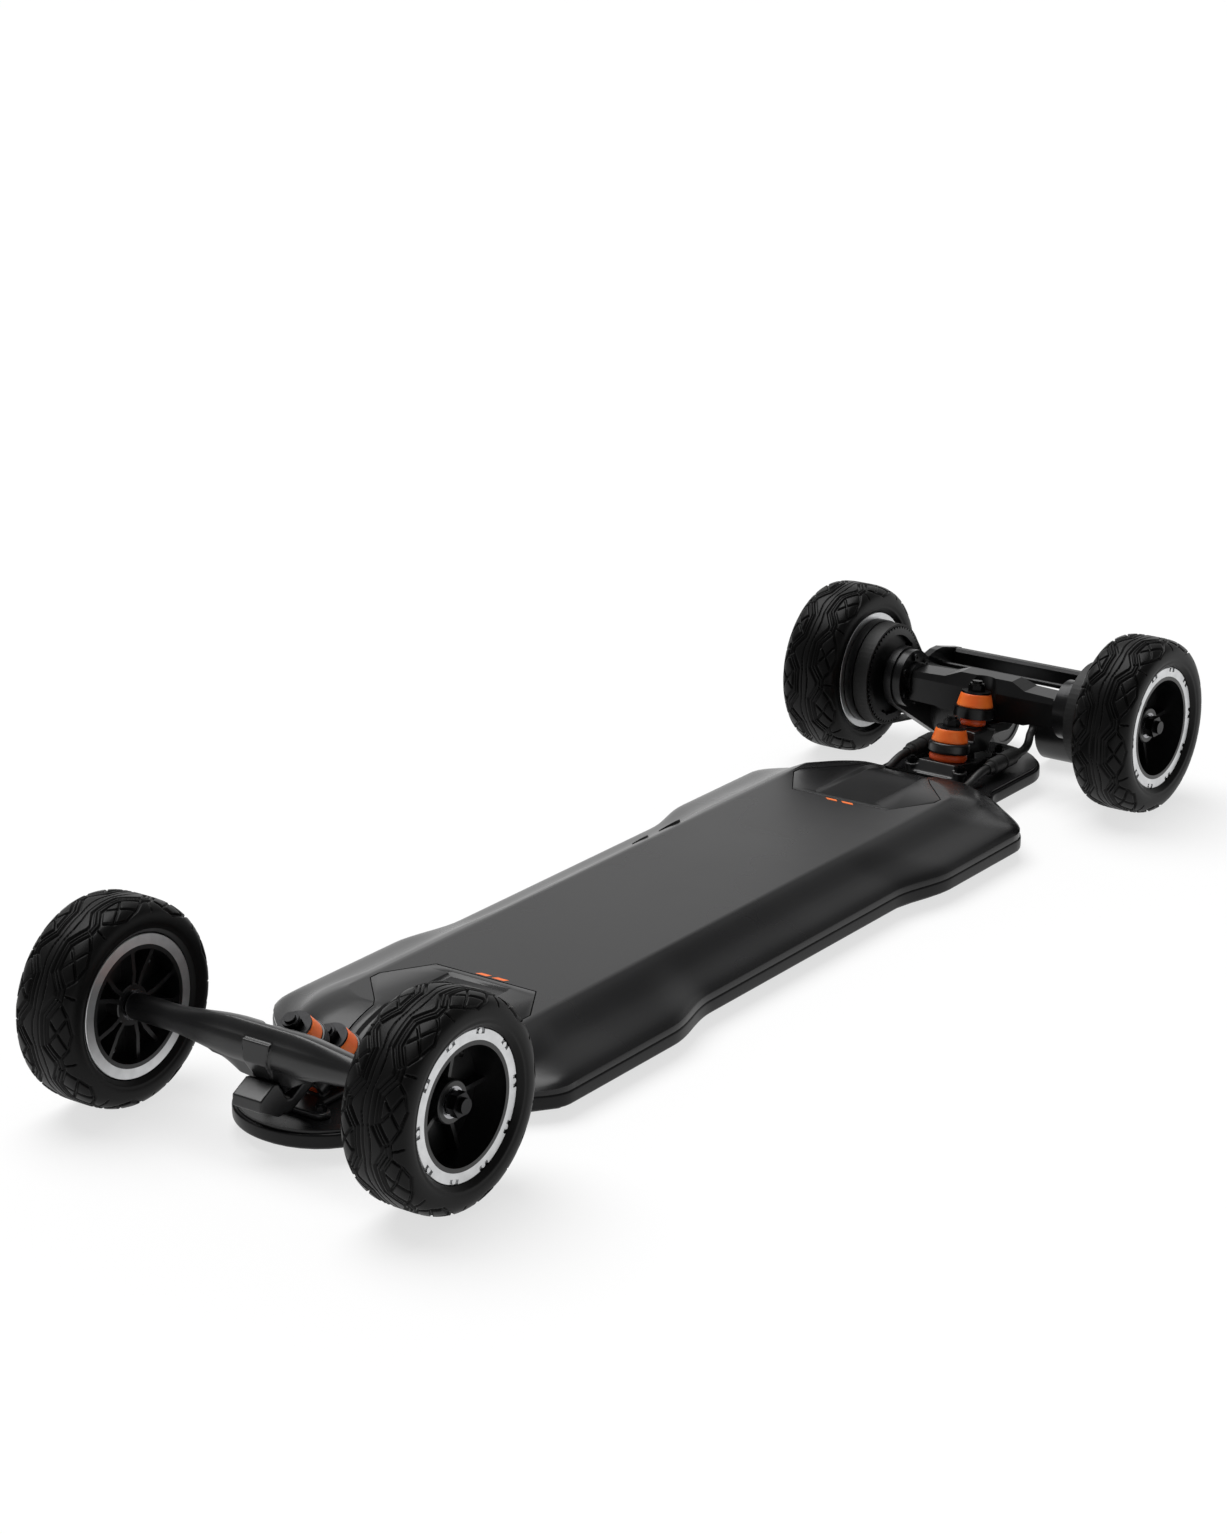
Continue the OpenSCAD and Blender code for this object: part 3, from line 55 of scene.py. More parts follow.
NECK_HALF, WAIST_HALF, FOOT_HALF = 64.5, 132.0, 146.0
WAIST_TO, FOOT_FROM = 140.0, 210.0
NOSE_NECK, TAIL_NECK = (345.0, 440.0), (322.0, 425.0)
END_ROUND = 55.0
RAIL_ROUND = 3.0


def ease(value, start, stop):
    t = min(1.0, max(0.0, (value - start) / (stop - start)))
    return t * t * (3.0 - 2.0 * t)


def deck_half_width(x):
    """Half the deck's width at a distance x from the middle of the wheelbase, in millimetres."""
    neck = TAIL_NECK if x > 0 else NOSE_NECK
    foot = WAIST_HALF + (FOOT_HALF - WAIST_HALF) * ease(abs(x), WAIST_TO, FOOT_FROM)
    return foot + (NECK_HALF - foot) * ease(abs(x), *neck)


def deck_outline(inset, sides=180, end=16):
    """Half of the outline from nose to tail, as (x, half width) pairs drawn in by an inset."""
    start, stop = -(NOSE_REACH - END_ROUND), TAIL_REACH - END_ROUND
    half = []
    for i in range(end):
        a = math.radians(90 * (i + 0.5) / (end + 0.5))
        half.append((start - (END_ROUND - inset) * math.cos(a), (NECK_HALF - inset) * math.sin(a)))
    for i in range(sides + 1):
        x = start + (stop - start) * i / sides
        half.append((x, deck_half_width(x) - inset))
    for i in range(end):
        a = math.radians(90 * (end - 0.5 - i) / (end + 0.5))
        half.append((stop + (END_ROUND - inset) * math.cos(a), (NECK_HALF - inset) * math.sin(a)))
    return half


def loft(rings):
    """Vertices and faces of a closed solid through rings of half outlines [(x, y, z), ...], lowest first.
    Each half is mirrored in y, and the caps are strips of pairs."""
    count = len(rings[0])
    verts, faces = [], []
    for ring in rings:
        verts += list(ring) + [(x, -y, z) for x, y, z in reversed(ring)]
    n = 2 * count
    for k in range(len(rings) - 1):
        for i in range(n):
            j = (i + 1) % n
            faces.append((k * n + j, k * n + i, (k + 1) * n + i, (k + 1) * n + j))
    top = (len(rings) - 1) * n
    for i in range(count - 1):
        faces.append((i, i + 1, n - 2 - i, n - 1 - i))
        faces.append((top + i + 1, top + i, top + n - 1 - i, top + n - 2 - i))
    return verts, faces


def mesh_object(name, verts, faces, shift=MIDDLE_X, sharp=32.0):
    """A smooth-shaded object from vertices in millimetres, with edges sharper than an angle kept crisp."""
    mesh = bpy.data.meshes.new(name)
    mesh.from_pydata([((x + shift) * MM, y * MM, z * MM) for x, y, z in verts], [], faces)
    mesh.validate()
    work = bmesh.new()
    work.from_mesh(mesh)
    bmesh.ops.recalc_face_normals(work, faces=work.faces)
    work.to_mesh(mesh)
    work.free()
    mesh.shade_smooth()
    mesh.set_sharp_from_angle(angle=math.radians(sharp))
    piece = bpy.data.objects.new(name, mesh)
    bpy.context.scene.collection.objects.link(piece)
    return piece


def linear(code):
    """An sRGB hex value as the linear RGBA that shaders take."""
    channels = [int(code[i:i + 2], 16) / 255 for i in (1, 3, 5)]
    return tuple(c / 12.92 if c <= 0.04045 else ((c + 0.055) / 1.055) ** 2.4 for c in channels) + (1.0,)


def new_material(name):
    material = bpy.data.materials.new(name)
    material.use_nodes = True
    material.node_tree.nodes.clear()
    return material, material.node_tree


def add(tree, kind, inputs=None, stops=(), **settings):
    """Adds a node. Inputs are given by name or number, as a value or as another node's socket, and a
    colour ramp's two stops as (place, sRGB hex) pairs."""
    made = tree.nodes.new(kind)
    for key, value in settings.items():
        setattr(made, key, value)
    for k, (place, code) in enumerate(stops):
        made.color_ramp.elements[k].position = place
        made.color_ramp.elements[k].color = linear(code)
    for key, value in (inputs or {}).items():
        if isinstance(value, bpy.types.NodeSocket):
            tree.links.new(value, made.inputs[key])
        else:
            made.inputs[key].default_value = value
    return made


def finish(name, dark, light, roughness, grain_mm=0.8, depth_mm=0.02, patch_mm=60.0, metallic=0.0,
           specular=0.5):
    """A solid finish: two close tones in broad patches, with a fine grain in the surface and its gloss.
    A real grain under about 0.5 mm doesn't show, so it is given as coarse as it needs to be to show."""
    material, tree = new_material(name)
    place = add(tree, "ShaderNodeTexCoord").outputs["Object"]
    patch = add(tree, "ShaderNodeTexNoise", {"Vector": place, "Scale": 1000 / patch_mm, "Detail": 3.0})
    grain = add(tree, "ShaderNodeTexNoise", {"Vector": place, "Scale": 1000 / grain_mm, "Detail": 2.0})
    tone = add(tree, "ShaderNodeValToRGB", {"Fac": patch.outputs["Fac"]}, stops=[(0.35, dark), (0.65, light)])
    gloss = add(tree, "ShaderNodeMapRange", {"Value": patch.outputs["Fac"], "From Min": 0.3, "From Max": 0.7,
                                             "To Min": roughness - 0.04, "To Max": roughness + 0.04})
    bump = add(tree, "ShaderNodeBump", {"Height": grain.outputs["Fac"], "Strength": 1.0,
                                        "Distance": depth_mm * MM})
    shader = add(tree, "ShaderNodeBsdfPrincipled", {
        "Base Color": tone.outputs["Color"], "Roughness": gloss.outputs["Result"], "Metallic": metallic,
        "Normal": bump.outputs["Normal"], "Specular IOR Level": specular})
    add(tree, "ShaderNodeOutputMaterial", {"Surface": shader.outputs["BSDF"]})
    return material


def dress(piece, material):
    """Puts a material on a piece or on a CAD node, in the object's own material slots."""
    if not piece.material_slots:
        piece.data.materials.append(material)
    for place in piece.material_slots:
        place.link = "OBJECT"
        place.material = material


# Sealed laminate: a thin satin lacquer over a pressed skin, so it is nearly black with a soft even shine.
sealed_laminate = finish("sealed_laminate", "#0a0a0b", "#0f0f10", 0.36, grain_mm=1.5, depth_mm=0.01,
                         specular=0.2)


def deck_rings():
    rings = []
    for i in range(7):
        a = math.radians(90 * i / 6)
        rings.append((RAIL_ROUND * (1 - math.sin(a)), DECK_LOW + RAIL_ROUND * (1 - math.cos(a))))
    for i in range(5):
        a = math.radians(90 * i / 4)
        rings.append((RAIL_ROUND * 0.6 * (1 - math.cos(a)), DECK_HIGH - RAIL_ROUND * 0.6 * (1 - math.sin(a))))
    return [[(x, y, z) for x, y in deck_outline(inset)] for inset, z in rings]


deck = mesh_object("deck_laminate_board", *loft(deck_rings()), sharp=50.0)
dress(deck, sealed_laminate)
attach(deck, "deck")
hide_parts("deck_board")

# The grip sheet: silicon carbide grit bonded to a film and glued to the standing face, cut 4 mm inside
# the rail. The real grit is about 0.5 mm. It is drawn at 1.2 mm, so that it still shows as sparkle.
grit, tree = new_material("silicon_carbide_grit")
place = add(tree, "ShaderNodeTexCoord").outputs["Object"]
grains = add(tree, "ShaderNodeTexVoronoi", {"Vector": place, "Scale": 1000 / 1.2}, feature="F1")
speck = add(tree, "ShaderNodeTexNoise", {"Vector": place, "Scale": 1000 / 2.5, "Detail": 4.0})
bump = add(tree, "ShaderNodeBump", {"Height": grains.outputs["Distance"], "Strength": 1.0,
                                    "Distance": 0.4 * MM})
tone = add(tree, "ShaderNodeValToRGB", {"Fac": speck.outputs["Fac"]},
           stops=[(0.35, "#0c0c0c"), (0.75, "#2b2b2b")])
shader = add(tree, "ShaderNodeBsdfPrincipled", {
    "Base Color": tone.outputs["Color"], "Roughness": 0.85, "Normal": bump.outputs["Normal"]})
add(tree, "ShaderNodeOutputMaterial", {"Surface": shader.outputs["BSDF"]})
dress(nodes["grip_sheet"], grit)

# The belly cover: one deep moulding over battery and controller, in ABS with a fine spark-eroded grain,
# screwed up through the deck. Its ends run out into thin flanges that the trucks are bolted over.
COVER_RISE = 30.0
COVER_REACH, COVER_CORNER, COVER_INSET = 407.0, 18.0, 1.0
COVER_TOP_HALF, COVER_TOP_SHARE = 80.0, 80.0 / 105.0
# How far the flat top reaches towards the nose and the tail
RIDGE = {-1: 353.0, 1: 345.0}
END_FROM, END_TO = 330.0, 400.0
# Shares of the way in and of the rise, from the foot to the flat top. The steep stretch is rows 5 to 6.
SIDE_PROFILE = [(0, 0), (0, 0.17), (0.05, 0.3), (0.15, 0.38), (0.29, 0.45), (0.58, 0.6), (0.76, 0.82),
                (0.87, 0.93), (1, 1)]
END_PROFILE = [(0, 0), (0, 0.1), (0.05, 0.15), (0.08, 0.22), (0.113, 0.27), (0.26, 0.47), (0.4, 0.67),
               (0.71, 0.88), (1, 1)]
STEEP_ROWS = (5, 6)


def cover_foot(x):
    t = max(0.0, (abs(x) - COVER_REACH + COVER_CORNER) / COVER_CORNER)
    return deck_half_width(x) - COVER_INSET - COVER_CORNER * (1 - math.sqrt(max(0.0, 1 - t * t)))


def cover_point(x, side, end):
    """A point over the cover's foot at x, for one row of the side and end profiles."""
    at_end = ease(abs(x), END_FROM, END_TO)
    share = side[0] + (end[0] - side[0]) * at_end
    rise = side[1] + (end[1] - side[1]) * at_end
    foot = cover_foot(x)
    top_y = min(COVER_TOP_HALF, foot * COVER_TOP_SHARE)
    top_x = x * RIDGE[1 if x > 0 else -1] / COVER_REACH
    return (x + (top_x - x) * share, foot + (top_y - foot) * share, DECK_HIGH + COVER_RISE * rise)


def cover_stations(corner=6, long=96):
    straight = COVER_REACH - COVER_CORNER
    out = [COVER_CORNER * math.sin(math.radians(90 * i / corner)) for i in range(corner, 0, -1)]
    middle = [-straight + 2 * straight * i / long for i in range(long + 1)]
    return [-straight - d for d in out] + middle + [straight + d for d in reversed(out)]


def rounded_profile(profile, rounds=1, keep=2):
    """Cuts the corners of a profile, so that its facets become soft moulded radii. The foot stays crisp."""
    points = [np.array(p, float) for p in profile]
    for _ in range(rounds):
        fresh = points[:keep]
        for a, b in zip(points[keep - 1:-1], points[keep:]):
            fresh += [a * 0.75 + b * 0.25, a * 0.25 + b * 0.75]
        points = fresh + [points[-1]]
    return [tuple(p) for p in points]


side_rows, end_rows = rounded_profile(SIDE_PROFILE), rounded_profile(END_PROFILE)
# The moulding's top edge is rolled over onto the flat top
top_roll = [(1.06, 1.0), (1.16, 1.0)]
side_rows, end_rows = side_rows + top_roll, end_rows + [(1.03, 1.0), (1.06, 1.0)]
cover_rows = [[cover_point(x, s, e) for x in cover_stations()] for s, e in zip(side_rows, end_rows)]

# Moulded ABS: a broad satin sheen that runs from pale on the flat top to black on the flanks. Its grain
# of about 0.4 mm is drawn at 0.9 mm, so that it still breaks the gloss.
moulded_abs = finish("moulded_grained_abs", "#101011", "#151516", 0.27, grain_mm=0.9, depth_mm=0.006,
                     patch_mm=160.0, specular=0.33)
cover = mesh_object("moulded_belly_cover", *loft(cover_rows), sharp=45.0)
cover_skin = BVHTree.FromObject(cover, bpy.context.evaluated_depsgraph_get())


def skin_height(x, y):
    """Height of the cover's skin over a point, in millimetres, found by a ray from 200 mm up."""
    hit = cover_skin.ray_cast(Vector(((x + MIDDLE_X) * MM, y * MM, 200 * MM)), Vector((0, 0, -1)))[0]
    return hit.z / MM if hit else DECK_HIGH + COVER_RISE


def cut_plan(work, xs, ys):
    """Cuts a flat face along lines of constant x and constant y."""
    for axis, places in (((1, 0, 0), xs), ((0, 1, 0), ys)):
        for at in places:
            spot = Vector(axis) * at
            bmesh.ops.bisect_plane(work, geom=work.verts[:] + work.edges[:] + work.faces[:],
                                   plane_co=spot, plane_no=axis, dist=1e-4)


def skin_panel(name, plan, thick, lift=0.0, xs=(), ys=(), drop=None, bevel=0.0):
    """A panel with the given plan that follows the cover's skin, raised by lift and thick downwards."""
    work = bmesh.new()
    work.faces.new([work.verts.new((x, y, 0.0)) for x, y in plan])
    cut_plan(work, xs, ys)
    for v in work.verts:
        v.co.z = skin_height(v.co.x, v.co.y) + lift - (drop(v.co.x, v.co.y) if drop else 0.0)
    bottom = bmesh.ops.extrude_face_region(work, geom=work.faces[:])["geom"]
    for v in bottom:
        if isinstance(v, bmesh.types.BMVert):
            v.co.z -= thick
    mesh = bpy.data.meshes.new(name)
    bmesh.ops.recalc_face_normals(work, faces=work.faces)
    to_metres = Matrix.Scale(MM, 4) @ Matrix.Translation((MIDDLE_X, 0, 0))
    bmesh.ops.transform(work, matrix=to_metres, verts=work.verts)
    work.to_mesh(mesh)
    work.free()
    piece = bpy.data.objects.new(name, mesh)
    bpy.context.scene.collection.objects.link(piece)
    if bevel:
        rounding = piece.modifiers.new("edge", "BEVEL")
        rounding.width = bevel * MM
        rounding.segments = 2
        rounding.angle_limit = math.radians(35)
        apply_modifiers(piece)
    piece.data.shade_smooth()
    piece.data.set_sharp_from_angle(angle=math.radians(35))
    return piece


def apply_modifiers(piece):
    """Keeps what the modifiers make of a piece as its mesh."""
    graph = bpy.context.evaluated_depsgraph_get()
    done = bpy.data.meshes.new_from_object(piece.evaluated_get(graph))
    piece.modifiers.clear()
    piece.data = done


def cut_away(piece, tools):
    """Cuts tool meshes out of a piece and deletes them."""
    for tool in tools:
        cutter = piece.modifiers.new("cut", "BOOLEAN")
        cutter.operation = "DIFFERENCE"
        cutter.solver = "EXACT"
        cutter.object = tool
    apply_modifiers(piece)
    for tool in tools:
        bpy.data.objects.remove(tool)


# Each hatch starts this far from the middle, is widest near there and steps in to a narrow end
HATCH_IN = {-1: 264.0, 1: 253.0}
HATCH_TIP_HALF, HATCH_HALF, HATCH_END_HALF = 50.0, 75.0, 38.0
HATCH_THICK, HATCH_GAP, RECESS_OVER = 5.0, 1.0, 15.0


def hatch_plan(way, spread):
    inner, end_half, wide = HATCH_IN[way], HATCH_END_HALF + spread, HATCH_HALF + spread
    half = [(inner - spread, HATCH_TIP_HALF + spread * 0.4), (inner + 40, wide), (inner + 52, wide),
            (inner + 84, end_half + 6), (inner + 92, end_half), (inner + 127 + spread, end_half)]
    plan = half + [(x, -y) for x, y in reversed(half)]
    return [(way * x, y) for x, y in plan]


# Lines across the panels where the skin bends down to the cover's end, every 5 mm
slope_cuts = {way: [way * (RIDGE[way] - 14 + 5 * i) for i in range(13)] for way in (-1, 1)}
recesses = [skin_panel("hatch_recess", hatch_plan(way, HATCH_GAP), RECESS_OVER + HATCH_THICK,
                       lift=RECESS_OVER, xs=slope_cuts[way]) for way in (-1, 1)]


def revolve(profile, steps=64, closed=True):
    """Turns a profile of (radius, height) about the z axis."""
    verts, faces = [], []
    n = len(profile)
    for i in range(steps):
        a = 2 * math.pi * i / steps
        verts += [(r * math.cos(a), r * math.sin(a), z) for r, z in profile]
    for i in range(steps):
        for k in range(n if closed else n - 1):
            a, b = i * n + k, i * n + (k + 1) % n
            c, d = ((i + 1) % steps) * n + (k + 1) % n, ((i + 1) % steps) * n + k
            faces.append((a, b, c, d))
    return verts, faces


def far_side_place(x):
    """The middle of the cover's steep side at x, with z out of the surface, in millimetres."""
    low, high = (Vector(cover_point(x, SIDE_PROFILE[row], END_PROFILE[row])) for row in STEEP_ROWS)
    tilt = math.atan2(high.z - low.z, low.y - high.y)
    return Matrix.Translation((low + high) / 2) @ Matrix.Rotation(-tilt, 4, "X")


# Seats of the port and the button: place along the board, radius, and height of the floor
SEATS = {"port_seat": (140.0, 11.1, 0.0), "button_seat": (90.0, 8.5, -6.0)}
for name, (x, radius, depth) in SEATS.items():
    verts, faces = revolve([(0.01, depth), (radius, depth), (radius, 30.0), (0.01, 30.0)], 48)
    place = far_side_place(x)
    recesses.append(mesh_object(name, [tuple(place @ Vector(v)) for v in verts], faces))
cut_away(cover, recesses)
cover.data.shade_smooth()
cover.data.set_sharp_from_angle(angle=math.radians(40))


FLANGE_THICK, FLANGE_INSET, FLANGE_LAP = 2.5, 3.0, 6.0


def flange(way):
    """The thin end of the moulding under a truck, which laps into the cover."""
    half = [(x, y) for x, y in deck_outline(FLANGE_INSET, sides=240) if way * x > COVER_REACH - FLANGE_LAP]
    rings = [[(x, y - d, z) for x, y in half] for d, z in
             ((0, DECK_HIGH), (0, DECK_HIGH + FLANGE_THICK - 0.5), (0.5, DECK_HIGH + FLANGE_THICK))]
    return mesh_object(f"moulded_flange_{'tail' if way > 0 else 'nose'}", *loft(rings), sharp=30.0)


for piece in (cover, flange(-1), flange(1)):
    dress(piece, moulded_abs)
    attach(piece, "deck")
    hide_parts("belly_cover")

# The hatches: two lids of the same ABS, dropped into the cover over the battery plug and the lead plugs,
# with a sunk middle channel. Two dashes of orange film are inlaid beside each lid's inner edge.
CHANNEL_HALF, CHANNEL_RAMP, CHANNEL_DEPTH, CHANNEL_IN = 28.0, 3.0, 2.5, 6.0
DASH_FROM, DASH_TO, DASH_THICK, DASH_PROUD = 6.0, 2.6, 0.5, 0.12


def channel_drop(way):
    def drop(x, y):
        inside = min(1.0, max(0.0, (CHANNEL_HALF + CHANNEL_RAMP - abs(y)) / CHANNEL_RAMP))
        along = min(1.0, max(0.0, (abs(x) - HATCH_IN[way] - CHANNEL_IN) / CHANNEL_RAMP))
        return CHANNEL_DEPTH * inside * along
    return drop


# Printed orange film: flat and even, a little duller than the urethane
orange_film = finish("printed_orange_film", "#ff7420", "#ff8230", 0.45, grain_mm=0.5, depth_mm=0.004)
for way, end in ((-1, "front"), (1, "rear")):
    inner, wide = HATCH_IN[way], CHANNEL_HALF + CHANNEL_RAMP
    channel_end = [way * (inner + CHANNEL_IN), way * (inner + CHANNEL_IN + CHANNEL_RAMP)]
    lid = skin_panel(f"{end}_hatch_lid", hatch_plan(way, 0.0), HATCH_THICK - 0.3,
                     xs=slope_cuts[way] + channel_end, ys=(-wide, -CHANNEL_HALF, CHANNEL_HALF, wide),
                     drop=channel_drop(way), bevel=0.45)
    dress(lid, moulded_abs)
    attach(lid, f"{end}_hatch")
    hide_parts(f"{end}_hatch")
    near, far = way * (inner - DASH_FROM), way * (inner - DASH_TO)
    for side, (a, b) in (("near", (12.5, -2.0)), ("far", (-4.0, -19.0))):
        dash = skin_panel(f"{end}_dash_{side}", [(near, a - 4), (far, a), (far, b + 3), (near, b)],
                          DASH_THICK, lift=DASH_PROUD)
        dress(dash, orange_film)
        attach(dash, "deck")

# Port, button, battery and controller. The port's cap is soft rubber and the button is moulded. The
# cells are wrapped in shrink film, and the controller's case is an extrusion left bare.
# The rubber is dull, the button's ABS satin and paler, the film glossy with creases, the case bright.
cap_rubber = finish("soft_cap_rubber", "#101010", "#171717", 0.55, grain_mm=0.6, depth_mm=0.01)
button_abs = finish("satin_button_abs", "#2c2c2d", "#333334", 0.35, grain_mm=0.6, depth_mm=0.005)
shrink_film = finish("blue_shrink_film", "#1c3d86", "#234a9a", 0.22, grain_mm=9.0, depth_mm=0.12)
bare_extrusion = finish("extruded_bare_aluminium", "#b4b5b8", "#c6c7ca", 0.35, grain_mm=0.4,
                        depth_mm=0.01, metallic=1.0)
for node, material in (("charge_port", cap_rubber), ("power_button", button_abs),
                       ("battery_pack", shrink_film), ("motor_controller", bare_extrusion)):
    dress(nodes[node], material)

# Fasteners: steel bolts, nuts, washers and axles in black oxide, which is thin and dark and lets the
# machined steel under it shine softly. Edges that a spanner meets are left a little brighter.
black_oxide, tree = new_material("black_oxide_steel")
place = add(tree, "ShaderNodeTexCoord").outputs["Object"]
lines = add(tree, "ShaderNodeTexNoise", {"Vector": place, "Scale": 1000 / 3.0, "Detail": 5.0})
fine = add(tree, "ShaderNodeTexNoise", {"Vector": place, "Scale": 1000 / 0.5, "Detail": 1.0})
edge = add(tree, "ShaderNodeNewGeometry").outputs["Pointiness"]
worn = add(tree, "ShaderNodeMapRange", {"Value": edge, "From Min": 0.58, "From Max": 0.72})
oxide = add(tree, "ShaderNodeValToRGB", {"Fac": lines.outputs["Fac"]},
            stops=[(0.3, "#0e0e0f"), (0.7, "#151516")])
mixed = add(tree, "ShaderNodeMix", {0: worn.outputs["Result"], 6: oxide.outputs["Color"],
                                    7: linear("#2c2c2e")}, data_type="RGBA")
bump = add(tree, "ShaderNodeBump", {"Height": fine.outputs["Fac"], "Strength": 1.0, "Distance": 0.01 * MM})
shader = add(tree, "ShaderNodeBsdfPrincipled", {"Base Color": mixed.outputs[2], "Metallic": 0.8,
                                                "Roughness": 0.33, "Normal": bump.outputs["Normal"]})
add(tree, "ShaderNodeOutputMaterial", {"Surface": shader.outputs["BSDF"]})
for node in ("cover_screws", "deck_bolts", "front_inner_kingpin", "front_outer_kingpin",
             "rear_inner_kingpin", "rear_outer_kingpin", "front_axle", "rear_axle"):
    dress(nodes[node], black_oxide)

# Truck castings: baseplates, links and the front hanger are aluminium, cast in sand-smooth moulds, so
# every edge has a radius, and then powder coated in satin black. The coat shows as a soft even sheen
# with a fine orange peel, drawn at 0.7 mm.
cast_powder = finish("cast_aluminium_powder_coat", "#111112", "#171718", 0.33, grain_mm=0.7,
                     depth_mm=0.015, patch_mm=40.0)


def casting(name, node, voxel_mm, rounds, body, shape=None):
    """A solid with its edges rounded off as casting and coating leave them: the CAD's, or a given mesh."""
    piece = bpy.data.objects.new(name, shape or nodes[node].data.copy())
    bpy.context.scene.collection.objects.link(piece)
    skin = piece.modifiers.new("skin", "REMESH")
    skin.mode = "VOXEL"
    skin.voxel_size = voxel_mm * MM
    soften = piece.modifiers.new("radius", "SMOOTH")
    soften.factor = 0.5
    soften.iterations = rounds
    apply_modifiers(piece)
    piece.data.materials.clear()
    piece.data.shade_smooth()
    dress(piece, cast_powder)
    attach(piece, body)
    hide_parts(node)


for end in ("front", "rear"):
    casting(f"{end}_baseplate_casting", f"{end}_baseplate", 0.9, 5, "deck")
    casting(f"{end}_link_casting", f"{end}_link", 0.8, 5, f"{end}_link")

# The front hanger is one casting: a round bar that swells to the middle under a crisp ridge, a V-shaped
# web down to the pivot nose with a raised rib on its face, and the ring between the bushings. It is cast
# and coated like the baseplates, and its voxel skin melts the joined shapes into one.
AXLE_X, AXLE_Z = 518.0, 82.5
# The lean of each truck's kingpins, how far the outer ring sits back and down from the axle, and how far
# the inner ring sits from the outer one along the truck and down the kingpin
STAGES = {
    "front": {"way": -1, "lean": 30.0, "back": 35.1, "drop": 7.9, "run": 22.6, "rise": 40.1},
    "rear": {"way": 1, "lean": 10.0, "back": 27.7, "drop": 9.5, "run": 40.3, "rise": 30.5},
}


def stage_frame(end, level):
    """Where a truck stage's ring sits, with z along its kingpin and x outwards, in millimetres."""
    s = STAGES[end]
    a = math.radians(s["lean"])
    out, up = Vector((math.cos(a), 0, -math.sin(a))), Vector((math.sin(a), 0, math.cos(a)))
    spot = Vector((AXLE_X - s["back"], 0, AXLE_Z - s["drop"]))
    if level == "inner":
        spot = spot - s["run"] * out - s["rise"] * up
    flip = Vector((s["way"], 1, 1))
    out, up, spot = (Vector((v.x * flip.x, v.y, v.z)) for v in (out, up, spot))
    side = up.cross(out)
    return Matrix(((out.x, side.x, up.x, spot.x), (out.y, side.y, up.y, spot.y),
                   (out.z, side.z, up.z, spot.z), (0, 0, 0, 1)))


def skin_over(rings):
    """Vertices and faces of a closed solid through rings of equal length."""
    n, last = len(rings[0]), (len(rings) - 1) * len(rings[0])
    verts = [tuple(p) for ring in rings for p in ring]
    faces = [(k * n + i, k * n + (i + 1) % n, (k + 1) * n + (i + 1) % n, (k + 1) * n + i)
             for k in range(len(rings) - 1) for i in range(n)]
    return verts, faces + [tuple(range(n)), tuple(range(last, last + n))]


def turned_piece(name, profile, seat_frame, steps=64):
    """A piece turned from a profile of (radius, height), set in a frame."""
    verts, faces = revolve(profile, steps)
    return mesh_object(name, [tuple(seat_frame @ Vector(v)) for v in verts], faces, sharp=38.0)


def at_front_axle(dx, y, dz):
    """A point given outwards and up from the middle of the front axle."""
    return (-(AXLE_X + dx), y, AXLE_Z + dz)


BAR_END, BAR_RADIUS, BAR_SWELL = 138.7, 10.55, 6.2
CREST_AT, CREST_SPREAD = 70, 35


def bar_ring(y, inset=0.0):
    """The bar's outline at y, with a ridge on its upper front that grows towards the middle."""
    swell = 1 - ease(abs(y), 26.0, 100.0)
    ring = []
    for i in range(72):
        a = math.radians(5 * i)
        crest = max(0.0, 1 - abs(5 * i - CREST_AT) / CREST_SPREAD)
        r = BAR_RADIUS + BAR_SWELL * swell + (0.6 + 3.9 * swell) * crest - inset
        ring.append(at_front_axle(r * math.cos(a), y, r * math.sin(a)))
    return ring


NOSE_HALF, NOSE_LOW, WEB_HALF, WEB_DEEP, WEB_RISE = 11.0, -35.5, 58, -36.0, 28.0


def web_ring(y):
    """The web's side outline at y, cut off along the V that runs up from the nose to the bar."""
    share = (abs(y) - NOSE_HALF) / (WEB_HALF - NOSE_HALF)
    floor_z = WEB_DEEP + WEB_RISE * share ** 0.72 if share >= 0 else -40.0
    thin = 1 - 0.8 * min(1.0, abs(y) / 44.0)
    return [at_front_axle(dx * (thin if dx < 0 else 1.0), y, max(dz, floor_z)) for dx, dz in WEB]


def joined(name, pieces):
    """One mesh of several pieces, which are deleted."""
    work = bmesh.new()
    for piece in pieces:
        work.from_mesh(piece.data)
        bpy.data.objects.remove(piece)
    mesh = bpy.data.meshes.new(name)
    work.to_mesh(mesh)
    work.free()
    return mesh


ring_frame = stage_frame("front", "outer")
arm_frame = ring_frame @ Matrix.Rotation(math.radians(90), 4, "Y")
bar_at = [-BAR_END + 2 * BAR_END * i / 140 for i in range(1, 140)]
bar = mesh_object("bar", *skin_over([bar_ring(-BAR_END, 1.5)] + [bar_ring(y) for y in bar_at]
                                    + [bar_ring(BAR_END, 1.5)]))
